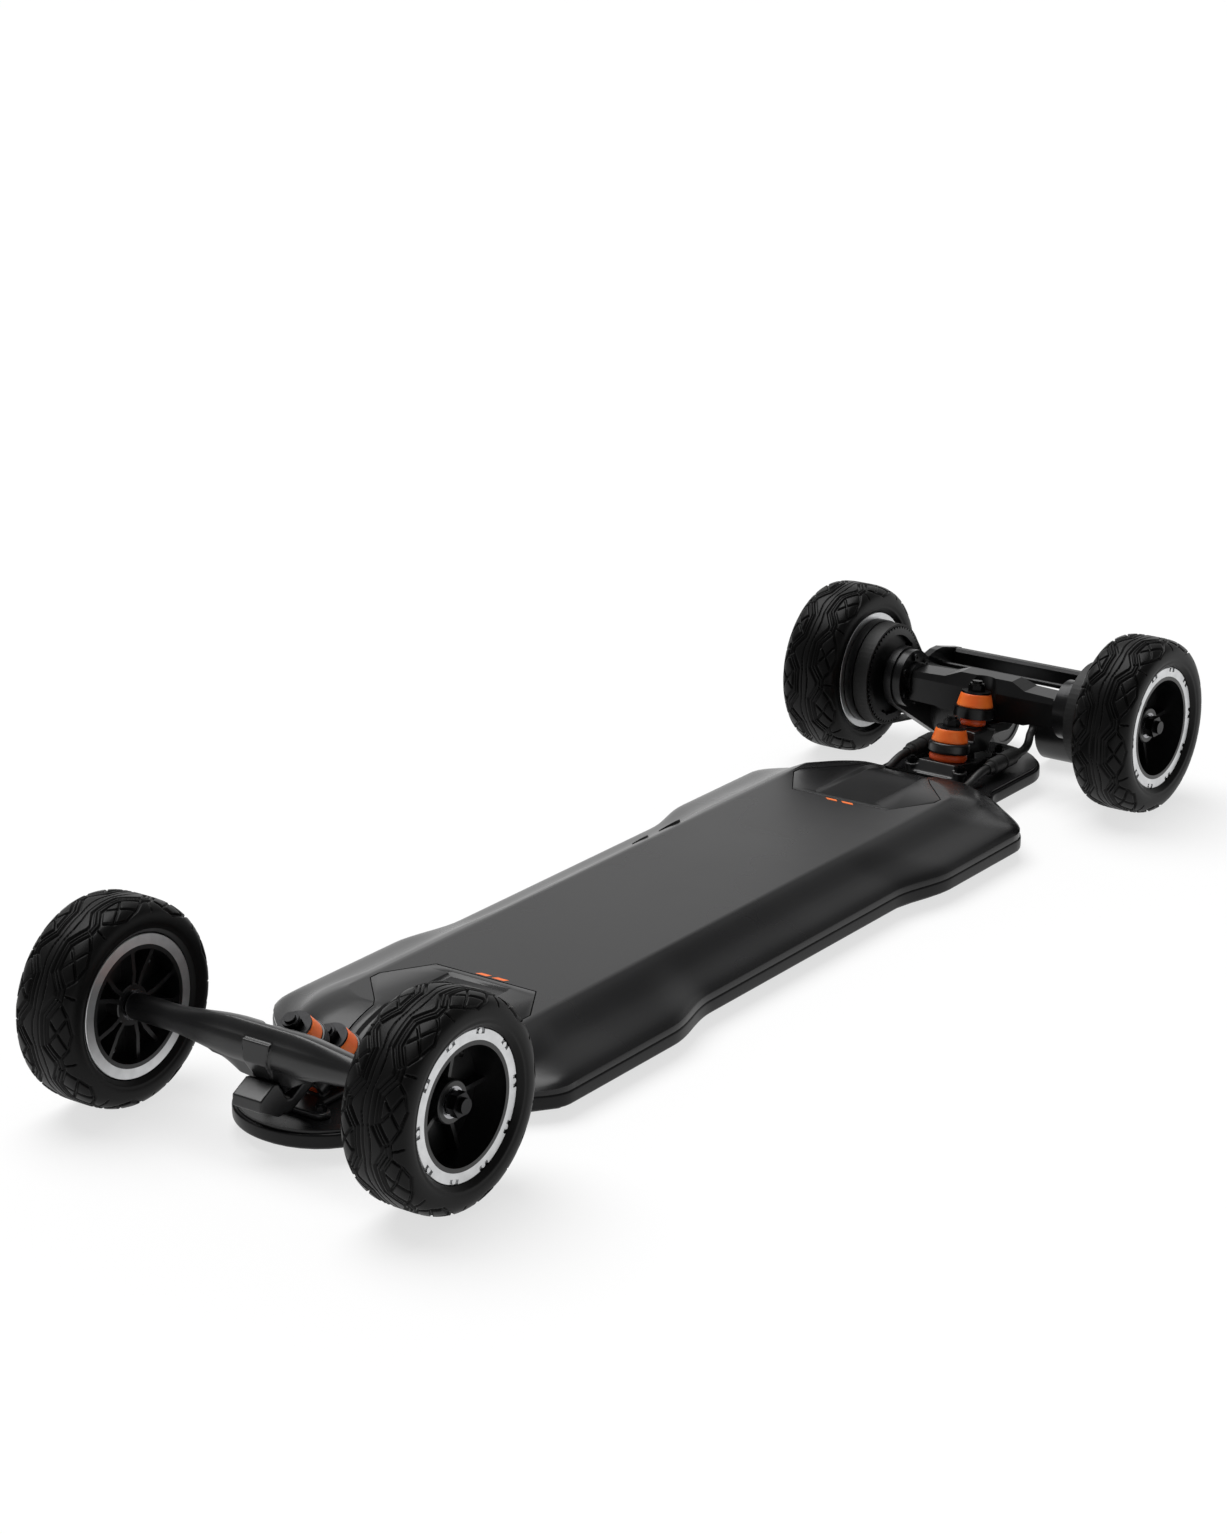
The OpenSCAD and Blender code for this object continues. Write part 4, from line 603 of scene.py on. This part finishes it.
# Side outlines, outwards and up from the axle
WEB = [(-31.2, -17.1), (-12.6, -29.0), (0.7, NOSE_LOW), (7.2, -24.2), (12.0, -12.0), (10.0, 12.0),
       (-12.0, 12.0), (-26.2, -8.4)]
RIB = [(-5.0, -30.0), (0.7, NOSE_LOW), (8.0, -25.5), (19.6, -6.0), (17.5, 10.0), (0.0, 12.0)]
RIB_HALF, RIB_FLARE = 7.0, 0.14
web = mesh_object("web", *skin_over([web_ring(y) for y in range(-WEB_HALF, WEB_HALF + 1, 2)]))
rib = mesh_object("rib", *skin_over([[at_front_axle(dx, side * (RIB_HALF + (dz - NOSE_LOW) * RIB_FLARE), dz)
                                      for dx, dz in RIB] for side in (-1, 1)]))
# The ring holds the bushings between these heights on the kingpin's line. Above it the cone needs room.
RING_LOW, RING_HIGH = -6.5, 4.0
SCOOP = [(0.01, RING_HIGH + 0.05), (18.9, RING_HIGH + 0.05), (18.9, 60), (0.01, 60)]
PIN_BORE = [(0.01, -8), (9, -8), (9, 60), (0.01, 60)]
for piece in (bar, web, rib):
    cut_away(piece, [turned_piece("scoop", SCOOP, ring_frame), turned_piece("bore", PIN_BORE, ring_frame)])
RING = [(9, RING_LOW), (18.5, RING_LOW), (19.5, -5.5), (19.5, 3), (18.5, RING_HIGH), (9, RING_HIGH)]
ARM = [(0.01, 14), (7.5, 14), (7.5, 44.6), (6.5, 45.2), (5.4, 45.2), (5.4, 52.6), (5.0, 53), (0.01, 53)]
hanger = joined("front_hanger_casting", [bar, web, rib, turned_piece("ring", RING, ring_frame),
                                         turned_piece("arm", ARM, arm_frame)])
casting("front_hanger_casting", "front_hanger", 0.7, 7, "front_hanger", shape=hanger)

# Bushings and pivot cups: cast urethane, dyed orange. The lower bushing is a squat barrel and the upper
# one a cone, pinched between ring and washer, so their edges bulge a little.
# The dye gives a strong plain orange with a waxy, half-dull shine. The harder grade is deeper and redder.
BARREL_HIGH, CONE_HIGH, BORE = 7.5, 13.0, 5.05
cone_urethane = finish("cast_orange_urethane", "#fb6a1e", "#ff7c2c", 0.42, grain_mm=2.0, depth_mm=0.01,
                       patch_mm=12.0)
barrel_urethane = finish("harder_orange_urethane", "#dd4c16", "#e85a20", 0.42, grain_mm=2.0,
                         depth_mm=0.01, patch_mm=12.0)
cup_urethane = finish("pivot_cup_urethane", "#c7440d", "#d94f14", 0.45, grain_mm=2.0, depth_mm=0.01)


def bulged_barrel(radius):
    seat = RING_LOW - BARREL_HIGH
    top, edge = RING_LOW - 0.05, radius - 1.8
    arc = [(radius - 0.9 + 0.9 * math.sin(math.pi * t / 8), seat + BARREL_HIGH * t / 8) for t in range(1, 8)]
    return [(BORE, seat), (edge, seat)] + arc + [(edge, top), (BORE, top)]


def bulged_cone():
    low, top = RING_HIGH + 0.05, RING_HIGH + CONE_HIGH
    profile = [(BORE, low), (16.2, low), (16.9, low + 0.3), (17.3, low + 1.0), (17.25, low + 1.9)]
    for t in range(1, 6):
        share = t / 6
        profile.append((17.25 - 2.55 * share, low + 1.9 + (CONE_HIGH - 3.2) * share))
    return profile + [(14.5, top - 0.9), (14.0, top - 0.25), (13.3, top), (BORE, top)]


for end in ("front", "rear"):
    for level, holder, swung, barrel_r in (("inner", "deck", f"{end}_link", 18.0),
                                           ("outer", f"{end}_link", f"{end}_hanger", 12.5)):
        seat_frame = stage_frame(end, level)
        for kind, urethane, profile, fixed, moved in (
                ("barrel", barrel_urethane, bulged_barrel(barrel_r), RING_LOW - BARREL_HIGH, RING_LOW),
                ("cone", cone_urethane, bulged_cone(), RING_HIGH + CONE_HIGH, RING_HIGH)):
            bush = turned_piece(f"{end}_{level}_bushing_{kind}", profile, seat_frame)
            dress(bush, urethane)
            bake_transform(bush)
            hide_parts(f"{end}_{level}_bushings")
    for node in (f"{end}_base_cup", f"{end}_link_cup"):
        dress(nodes[node], cup_urethane)

# The machined parts of the driven end: hanger, motor mounts and brace bars are milled from aluminium
# and anodised black. Milling leaves them flatter and glossier than the castings, with faint tool lines
# that are drawn much coarser than the cutter's real steps.
anodised, tree = new_material("black_anodised_aluminium")
place = add(tree, "ShaderNodeTexCoord").outputs["Object"]
tool_lines = add(tree, "ShaderNodeTexWave", {"Vector": place, "Scale": 1000 / 20.0, "Distortion": 1.5,
                                             "Detail": 2.0}, bands_direction="Y")
tone = add(tree, "ShaderNodeTexNoise", {"Vector": place, "Scale": 1000 / 25.0, "Detail": 3.0})
bump = add(tree, "ShaderNodeBump", {"Height": tool_lines.outputs["Fac"], "Strength": 1.0,
                                    "Distance": 0.006 * MM})
colour = add(tree, "ShaderNodeValToRGB", {"Fac": tone.outputs["Fac"]},
             stops=[(0.3, "#121213"), (0.7, "#1b1b1c")])
shader = add(tree, "ShaderNodeBsdfPrincipled", {
    "Base Color": colour.outputs["Color"], "Metallic": 0.55, "Roughness": 0.3,
    "Normal": bump.outputs["Normal"]})
add(tree, "ShaderNodeOutputMaterial", {"Surface": shader.outputs["BSDF"]})
for node in ("rear_hanger", "left_motor_mount", "right_motor_mount", "brace_bars"):
    dress(nodes[node], anodised)

# Motors, pulleys and belts. The motor cans are enamelled, the small pulleys are turned and hobbed
# steel, the wheel pulleys are hard coated, and the belts are neoprene with a moulded back.
# Enamel and hard coat give a quiet shine on black, the bare steel teeth glint, and the neoprene is dull.
can_enamel = finish("motor_can_enamel", "#101011", "#161617", 0.36, grain_mm=1.2, depth_mm=0.012)
hobbed_steel = finish("hobbed_pulley_steel", "#7c7c7e", "#929294", 0.3, grain_mm=0.5, depth_mm=0.01,
                      metallic=1.0)
hard_coat = finish("hard_coated_pulley", "#0e0e0f", "#151516", 0.38, grain_mm=0.8, depth_mm=0.01)
neoprene = finish("moulded_neoprene", "#0c0c0c", "#131313", 0.6, grain_mm=0.7, depth_mm=0.02)
for side in ("left", "right"):
    for node, material in (("motor", can_enamel), ("motor_pulley", hobbed_steel),
                           ("wheel_pulley", hard_coat), ("belt", neoprene)):
        dress(nodes[f"{side}_{node}"], material)

# The motor leads: three cores in one round sleeve of black rubber. Each comes out of the cover's end,
# meets a screwed plug behind the baseplate, and loops up to its motor with room for the truck to lean.
LEAD_RADIUS, LEAD_Y, PLUG_Z = 4.0, 44.0, 36.0
LEAD_IN = [(239.2, 44, 29), (300, 44, 29), (380, 44, 29), (392, 44, 29), (401, 44, 29), (411, 44, 30.6),
           (422, 44, 34), (433, 44, 36), (444, 44, 36)]
LEAD_OUT = [(494, 44, 36), (508, 44, 36), (520, 42, 38), (534, 36, 39), (546, 30, 38.5), (554, 28, 42),
            (558, 28, 50), (566, 33, 57)]
# The plug's radii, at distances from the middle of the wheelbase
PLUG = [(3.9, 441), (5.0, 441), (5.5, 441.6), (5.5, 448.5), (6.9, 449), (7.5, 449.6), (7.5, 465.4),
        (6.9, 466), (6.4, 466.2), (6.4, 468.8), (7.4, 469), (8.0, 469.6), (8.0, 486.4), (7.4, 487),
        (5.6, 487.5), (5.5, 496.4), (5.0, 497), (3.9, 497)]
# Rubber sleeve: dull black with a soft bloom, and no shine of its own
lead_sleeve = finish("rubber_lead_sleeve", "#0d0d0d", "#141414", 0.5, grain_mm=1.0, depth_mm=0.02)


def smooth_path(points, steps=8):
    """A smooth curve through the points."""
    path, last = [], len(points) - 1
    for i in range(last):
        a, b, c, d = (np.array(points[min(last, max(0, i + k))], float) for k in (-1, 0, 1, 2))
        for j in range(steps):
            t = j / steps
            path.append(0.5 * (2 * b + (c - a) * t + (2 * a - 5 * b + 4 * c - d) * t ** 2
                               + (3 * b - a - 3 * c + d) * t ** 3))
    return path + [np.array(points[last], float)]


def tube(path, radius, sides=20):
    """A round sleeve along a path."""
    rings = []
    side = np.array((0.0, 1.0, 0.0))
    for i, p in enumerate(path):
        t = path[min(len(path) - 1, i + 1)] - path[max(0, i - 1)]
        t = t / np.linalg.norm(t)
        side = side - t * side.dot(t)
        side = side / np.linalg.norm(side)
        up = np.cross(t, side)
        rings.append([p + radius * (math.cos(a) * side + math.sin(a) * up)
                      for a in (2 * math.pi * k / sides for k in range(sides))])
    return skin_over(rings)


for side, sign in (("left", 1), ("right", -1)):
    way_out = [p * (1, sign, 1) for p in smooth_path(LEAD_OUT)]
    half = len(way_out) // 2
    ends = {"in": [p * (1, sign, 1) for p in smooth_path(LEAD_IN)], "loop": way_out[:half + 1],
            "tail": way_out[half:]}
    for part, path in ends.items():
        piece = mesh_object(f"{side}_lead_{part}", *tube(path, LEAD_RADIUS), sharp=60.0)
        dress(piece, lead_sleeve)
        if part == "in":
            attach(piece, "deck")
        else:
            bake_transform(piece)
        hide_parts(f"{side}_motor_lead")
    lie = Matrix.Translation((0, sign * LEAD_Y, PLUG_Z)) @ Matrix.Rotation(math.radians(90), 4, "Y")
    plug = turned_piece(f"{side}_lead_plug", PLUG, lie, 48)
    dress(plug, cap_rubber)
    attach(plug, "deck")
    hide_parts(f"{side}_motor_lead")

# Tyres: pneumatic, in soft black rubber, vulcanised in a mould that leaves a smooth centre band between
# two thin lines, a ribbon of zigzag grooves down each side of it, and crossed lozenges on the shoulders.
TREAD_REPEATS, COLUMNS, ROWS = 9, 864, 62
CROWN_R, TYRE_MID_R, TYRE_HALF = 82.5, 67.0, 29.5
PITCH = 2 * math.pi * CROWN_R / TREAD_REPEATS
GROOVE_DEPTH, GROOVE_EDGE = 2.0, 0.5
# Each groove's half width, and its points as shares of a repeat and distances from the tyre's middle
GROOVES = [
    (0.3, [(-0.1, 4.2), (0.1, 1.9), (0.52, 1.9), (0.74, 4.2), (0.9, 4.2)]),
    (1.2, [(-0.12, 15), (0.1, 6), (0.55, 6), (0.8, 15), (0.88, 15)]),
    (0.35, [(-0.08, 18), (0.13, 9), (0.52, 9), (0.77, 18), (0.92, 18)]),
    (1.0, [(-0.05, 21), (0.16, 12), (0.5, 12), (0.74, 21), (0.95, 21)]),
    (0.6, [(0.8, 15), (0.74, 21)]),
    (0.9, [(-0.05, 21), (0.08, 28), (0.3, 32), (0.55, 28), (0.74, 21)]),
    (0.8, [(0.16, 12), (0.33, 20), (0.55, 28)]),
    (0.8, [(0.5, 12), (0.33, 20), (0.08, 28)]),
    (0.6, [(0.845, 21), (0.82, 31)]),
]


def tyre_section(steps):
    """Half the tread's section, from the crown's middle to the widest place, as (radius, half width)."""
    points = []
    for i in range(steps + 1):
        a = math.radians(90 - 90 * i / steps)
        radius = TYRE_MID_R + (CROWN_R - TYRE_MID_R) * math.sin(a) ** 0.8
        points.append((radius, TYRE_HALF * math.cos(a) ** 0.5))
    return points


def even_section(count):
    """The tread's half section at even steps along its length: radii, half widths and lengths."""
    fine = np.array(tyre_section(4000))
    length = np.concatenate([[0], np.cumsum(np.hypot(*np.diff(fine, axis=0).T))])
    at = np.linspace(0, length[-1], count)
    return np.interp(at, length, fine[:, 0]), np.interp(at, length, fine[:, 1]), at


def groove_depth(u, v):
    """Depth of the tread's grooves at shares u of a repeat and distances v from the middle."""
    cut = np.zeros(u.shape)
    for half, line in GROOVES:
        for (u0, v0), (u1, v1) in zip(line, line[1:]):
            for turn in (-1, 0, 1):
                ax, ay = (u0 + turn) * PITCH, v0
                dx, dy = (u1 - u0) * PITCH, v1 - v0
                px, py = u * PITCH - ax, v - ay
                t = np.clip((px * dx + py * dy) / (dx * dx + dy * dy), 0, 1)
                reach = half + 0.8 * GROOVE_EDGE - np.hypot(px - t * dx, py - t * dy)
                cut = np.maximum(cut, reach / GROOVE_EDGE)
    cut = np.clip(cut, 0, 1)
    return GROOVE_DEPTH * cut * cut * (3 - 2 * cut)


def tyre_mesh():
    """The tyre round the z axis: the section turned, and sunk along its own normals in the grooves."""
    r, w, at = even_section(ROWS)
    wall = [(TYRE_MID_R - 2.6, 29.35), (62.6, 28.6), (61.8, 28.9), (60.9, 28.3), (59.6, 27.2),
            (58.3, 25.9), (57.5, 25.3), (57.3, 22.3), (56.4, 18.6), (52.3, 18.6), (52.3, 13.0),
            (57.0, 13.0), (58.5, 15.0)]
    inside = [(61.5, 22.5), (68.0, 23.8), (73.5, 19.0), (76.2, 10.0), (77.0, 0.0)]
    half = list(zip(r[1:], w[1:])) + wall + inside[:-1]
    profile = [(x, -z) for x, z in reversed(half)] + [(r[0], 0.0)] + half + [inside[-1]]
    profile = np.array(profile)
    tread = np.array([-1.0] * len(profile))
    middle, count = len(half), len(r)
    for i in range(count):
        tread[middle + i] = tread[middle - i] = at[i]
    u = np.arange(COLUMNS) / COLUMNS * TREAD_REPEATS
    grid_u = np.repeat((u % 1.0)[:, None], len(profile), 1)
    shifted = np.where(profile[None, :, 1] < 0, (grid_u + 0.5) % 1.0, grid_u)
    along = np.broadcast_to(np.abs(tread), grid_u.shape)
    depth = np.where(tread >= 0, groove_depth(shifted, along), 0.0)
    step = np.roll(profile, -1, 0) - np.roll(profile, 1, 0)
    normal = np.stack([step[:, 1], -step[:, 0]], 1)
    normal /= np.linalg.norm(normal, axis=1)[:, None]
    radius = profile[None, :, 0] - depth * normal[None, :, 0]
    height = profile[None, :, 1] - depth * normal[None, :, 1]
    angle = (u / TREAD_REPEATS * 2 * math.pi)[:, None]
    co = np.stack([radius * np.cos(angle), radius * np.sin(angle), height], -1) * MM
    n = len(profile)
    i, k = np.meshgrid(np.arange(COLUMNS), np.arange(n), indexing="ij")
    j, m = (i + 1) % COLUMNS, (k + 1) % n
    quads = np.stack([i * n + k, j * n + k, j * n + m, i * n + m], -1).reshape(-1, 4)
    mesh = bpy.data.meshes.new("vulcanised_tyre")
    mesh.from_pydata(co.reshape(-1, 3), [], quads)
    # Each point's share of the full groove depth is kept on the mesh, for the painted shade in the grooves
    cut = mesh.attributes.new("groove", "FLOAT", "POINT")
    cut.data.foreach_set("value", (depth / GROOVE_DEPTH).astype(np.float32).ravel())
    mesh.shade_smooth()
    return mesh


# Tyre rubber: a dull, very dark black with a faint bloom in patches, and painted shade that makes it blacker
# still in the grooves, where shade falls. Its pores are drawn at 0.9 mm.
tyre_rubber, tree = new_material("vulcanised_tyre_rubber")
place = add(tree, "ShaderNodeTexCoord").outputs["Object"]
bloom = add(tree, "ShaderNodeTexNoise", {"Vector": place, "Scale": 1000 / 35.0, "Detail": 4.0})
pores = add(tree, "ShaderNodeTexNoise", {"Vector": place, "Scale": 1000 / 0.9, "Detail": 2.0})
bump = add(tree, "ShaderNodeBump", {"Height": pores.outputs["Fac"], "Strength": 1.0, "Distance": 0.04 * MM})
cut = add(tree, "ShaderNodeAttribute", attribute_name="groove").outputs["Fac"]
skin = add(tree, "ShaderNodeValToRGB", {"Fac": bloom.outputs["Fac"]},
           stops=[(0.3, "#070707"), (0.7, "#0b0b0b")])
# Painted shade: the rubber's colour is mixed towards near black (#020202) with the groove's depth, standing
# in for the shade inside the grooves
shade = add(tree, "ShaderNodeMapRange", {"Value": cut, "From Max": 0.55})
groove_painted_shade = add(tree, "ShaderNodeMix", {0: shade.outputs["Result"], 6: skin.outputs["Color"],
                                   7: linear("#020202")}, data_type="RGBA")
shader = add(tree, "ShaderNodeBsdfPrincipled", {
    "Base Color": groove_painted_shade.outputs[2], "Roughness": 0.4, "Normal": bump.outputs["Normal"],
    "Specular IOR Level": 0.14})
add(tree, "ShaderNodeOutputMaterial", {"Surface": shader.outputs["BSDF"]})
shared_tyre = tyre_mesh()
shared_tyre.materials.append(tyre_rubber)
# The wheels stand turned by about ten degrees, the front ones one way and the rear ones the other
TRACK_HALF, WHEEL_TURN = 159.0, 0.17
for end, sign_x in (("front", -1), ("rear", 1)):
    for side, sign_y in (("left", 1), ("right", -1)):
        tyre = bpy.data.objects.new(f"{end}_{side}_treaded_tyre", shared_tyre)
        bpy.context.scene.collection.objects.link(tyre)
        spot = Vector(((sign_x * AXLE_X + MIDDLE_X) * MM, sign_y * TRACK_HALF * MM, AXLE_Z * MM))
        upright = Matrix.Rotation(math.radians(-90 * sign_y), 4, "X")
        turn = Matrix.Rotation(WHEEL_TURN * sign_x, 4, "Z")
        tyre.matrix_world = Matrix.Translation(spot) @ upright @ turn
        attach(tyre, f"{end}_{side}_wheel")
        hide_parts(f"{end}_{side}_tyre")

# Hubs, rim rings and bearings: the hub is cast and powder coated, the rings are turned aluminium with a
# polished face, screwed on over the beads, and the bearings are ground steel.
# The hub is nearly as black as the tyre but shines, the rings are the brightest thing on the board with
# a soft turned grain, and the bearings give a tight glint.
hub_powder = finish("hub_powder_coat", "#0c0c0d", "#121213", 0.34, grain_mm=0.8, depth_mm=0.015)
bearing_steel = finish("ground_bearing_steel", "#8d8d90", "#a9a9ac", 0.22, grain_mm=0.5, depth_mm=0.004,
                       metallic=1.0)
turned_ring, tree = new_material("turned_polished_aluminium")
place = add(tree, "ShaderNodeTexCoord").outputs["Object"]
tone = add(tree, "ShaderNodeTexNoise", {"Vector": place, "Scale": 1000 / 12.0, "Detail": 4.0})
fine = add(tree, "ShaderNodeTexNoise", {"Vector": place, "Scale": 1000 / 0.6, "Detail": 1.0})
bump = add(tree, "ShaderNodeBump", {"Height": fine.outputs["Fac"], "Strength": 1.0, "Distance": 0.006 * MM})
colour = add(tree, "ShaderNodeValToRGB", {"Fac": tone.outputs["Fac"]},
             stops=[(0.3, "#c9cacb"), (0.7, "#dcddde")])
shader = add(tree, "ShaderNodeBsdfPrincipled", {
    "Base Color": colour.outputs["Color"], "Metallic": 1.0, "Roughness": 0.38,
    "Normal": bump.outputs["Normal"]})
add(tree, "ShaderNodeOutputMaterial", {"Surface": shader.outputs["BSDF"]})
for end in ("front", "rear"):
    for side in ("left", "right"):
        for node, material in (("hub", hub_powder), ("rim_rings", turned_ring),
                               ("bearings", bearing_steel)):
            dress(nodes[f"{end}_{side}_{node}"], material)

# The stage: a pale floor big enough to fill every view, soft studio light from above and behind, and
# the camera where the photograph was taken, low and off the nose's right corner.
# The floor's paint is matt. Where it is seen, also in a reflection, most of it is plain white.
floor_paint, tree = new_material("pale_floor_paint")
patch = add(tree, "ShaderNodeTexNoise", {"Scale": 2.0, "Detail": 2.0})
tone = add(tree, "ShaderNodeValToRGB", {"Fac": patch.outputs["Fac"]},
           stops=[(0.0, "#fafafa"), (1.0, "#fcfcfc")])
shader = add(tree, "ShaderNodeBsdfPrincipled", {
    "Base Color": tone.outputs["Color"], "Roughness": 0.9, "Specular IOR Level": 0.1})
path = add(tree, "ShaderNodeLightPath")
seen = add(tree, "ShaderNodeMath", {0: path.outputs["Is Camera Ray"], 1: path.outputs["Is Glossy Ray"]},
           operation="MAXIMUM")
seen = add(tree, "ShaderNodeMath", {0: seen.outputs["Value"], 1: path.outputs["Is Transmission Ray"]},
           operation="MAXIMUM")
share = add(tree, "ShaderNodeMath", {0: seen.outputs["Value"], 1: 0.7}, operation="MULTIPLY")
white = add(tree, "ShaderNodeEmission", {"Color": (1, 1, 1, 1), "Strength": 1.0})
surface = add(tree, "ShaderNodeMixShader", {0: share.outputs["Value"], 1: shader.outputs["BSDF"],
                                            2: white.outputs["Emission"]})
add(tree, "ShaderNodeOutputMaterial", {"Surface": surface.outputs["Shader"]})
floor_verts, floor_faces = revolve([(0.0, 0.0), (30000.0, 0.0)], 96, closed=False)
floor = mesh_object("floor", floor_verts, floor_faces)
floor.location.z = -0.2 * MM
dress(floor, floor_paint)

world = bpy.data.worlds.new("studio")
bpy.context.scene.world = world
world.use_nodes = True
tree = world.node_tree
tree.nodes.clear()
# The room is dim all round, with a pale wall behind the board, low in the camera's direction of view,
# and a pale band at the horizon that carries on the floor's white
direction = add(tree, "ShaderNodeTexCoord").outputs["Generated"]
height = add(tree, "ShaderNodeSeparateXYZ", {0: direction}).outputs["Z"]
around = add(tree, "ShaderNodeVectorMath", {0: direction, 1: (0.805, 0.593, 0.0)}, operation="DOT_PRODUCT")
behind = add(tree, "ShaderNodeMapRange", {"Value": around.outputs["Value"], "From Min": 0.35,
                                          "From Max": 0.85})
low = add(tree, "ShaderNodeMapRange", {"Value": height, "From Min": 0.36, "From Max": 0.6,
                                       "To Min": 1.0, "To Max": 0.0})
wall = add(tree, "ShaderNodeMath", {0: behind.outputs["Result"], 1: low.outputs["Result"]},
           operation="MULTIPLY")
room = add(tree, "ShaderNodeMapRange", {"Value": wall.outputs["Value"], "To Min": 0.22, "To Max": 0.88})
band = add(tree, "ShaderNodeMapRange", {"Value": height, "From Min": 0.05, "From Max": 0.12,
                                        "To Min": 0.95, "To Max": 0.0})
level = add(tree, "ShaderNodeMath", {0: room.outputs["Result"], 1: band.outputs["Result"]},
            operation="MAXIMUM")
light = add(tree, "ShaderNodeBackground", {"Color": (1, 1, 1, 1), "Strength": level.outputs["Value"]})
add(tree, "ShaderNodeOutputWorld", {"Surface": light.outputs["Background"]})

# One wide soft lamp stands for the panel over the board
panel_data = bpy.data.lights.new("sky_panel", "SUN")
panel_data.energy = 2.75
panel_data.angle = math.radians(50)
panel = bpy.data.objects.new("sky_panel", panel_data)
bpy.context.scene.collection.objects.link(panel)
panel.location = (0.3, 1.2, 3.0)
panel.rotation_euler = (-panel.location).to_track_quat("-Z", "Y").to_euler()

# The camera's place in metres, its turns in radians and its focal length in the photograph's pixels, as
# fitted to the photograph
CAMERA_PLACE = Vector((-2.319, -1.6305, 1.12466))
YAW, PITCH_DOWN, ROLL = 0.6344, 0.3309, -0.0086
FOCAL_PIXELS, FRAME_HEIGHT = 3554.32, 1534
forward = Vector((math.cos(YAW) * math.cos(PITCH_DOWN), math.sin(YAW) * math.cos(PITCH_DOWN),
                  -math.sin(PITCH_DOWN)))
level_right = forward.cross(Vector((0, 0, 1))).normalized()
level_up = level_right.cross(forward)
right = math.cos(ROLL) * level_right + math.sin(ROLL) * level_up
up = -math.sin(ROLL) * level_right + math.cos(ROLL) * level_up
camera_data = bpy.data.cameras.new("camera")
camera_data.sensor_width = 36.0
camera_data.lens = FOCAL_PIXELS / FRAME_HEIGHT * 36.0
camera_data.clip_end = 100.0
camera = bpy.data.objects.new("camera", camera_data)
bpy.context.scene.collection.objects.link(camera)
camera.matrix_world = Matrix(((right.x, up.x, -forward.x, CAMERA_PLACE.x),
                              (right.y, up.y, -forward.y, CAMERA_PLACE.y),
                              (right.z, up.z, -forward.z, CAMERA_PLACE.z), (0, 0, 0, 1)))
bpy.context.scene.camera = camera
bpy.context.scene.view_settings.view_transform = "Standard"
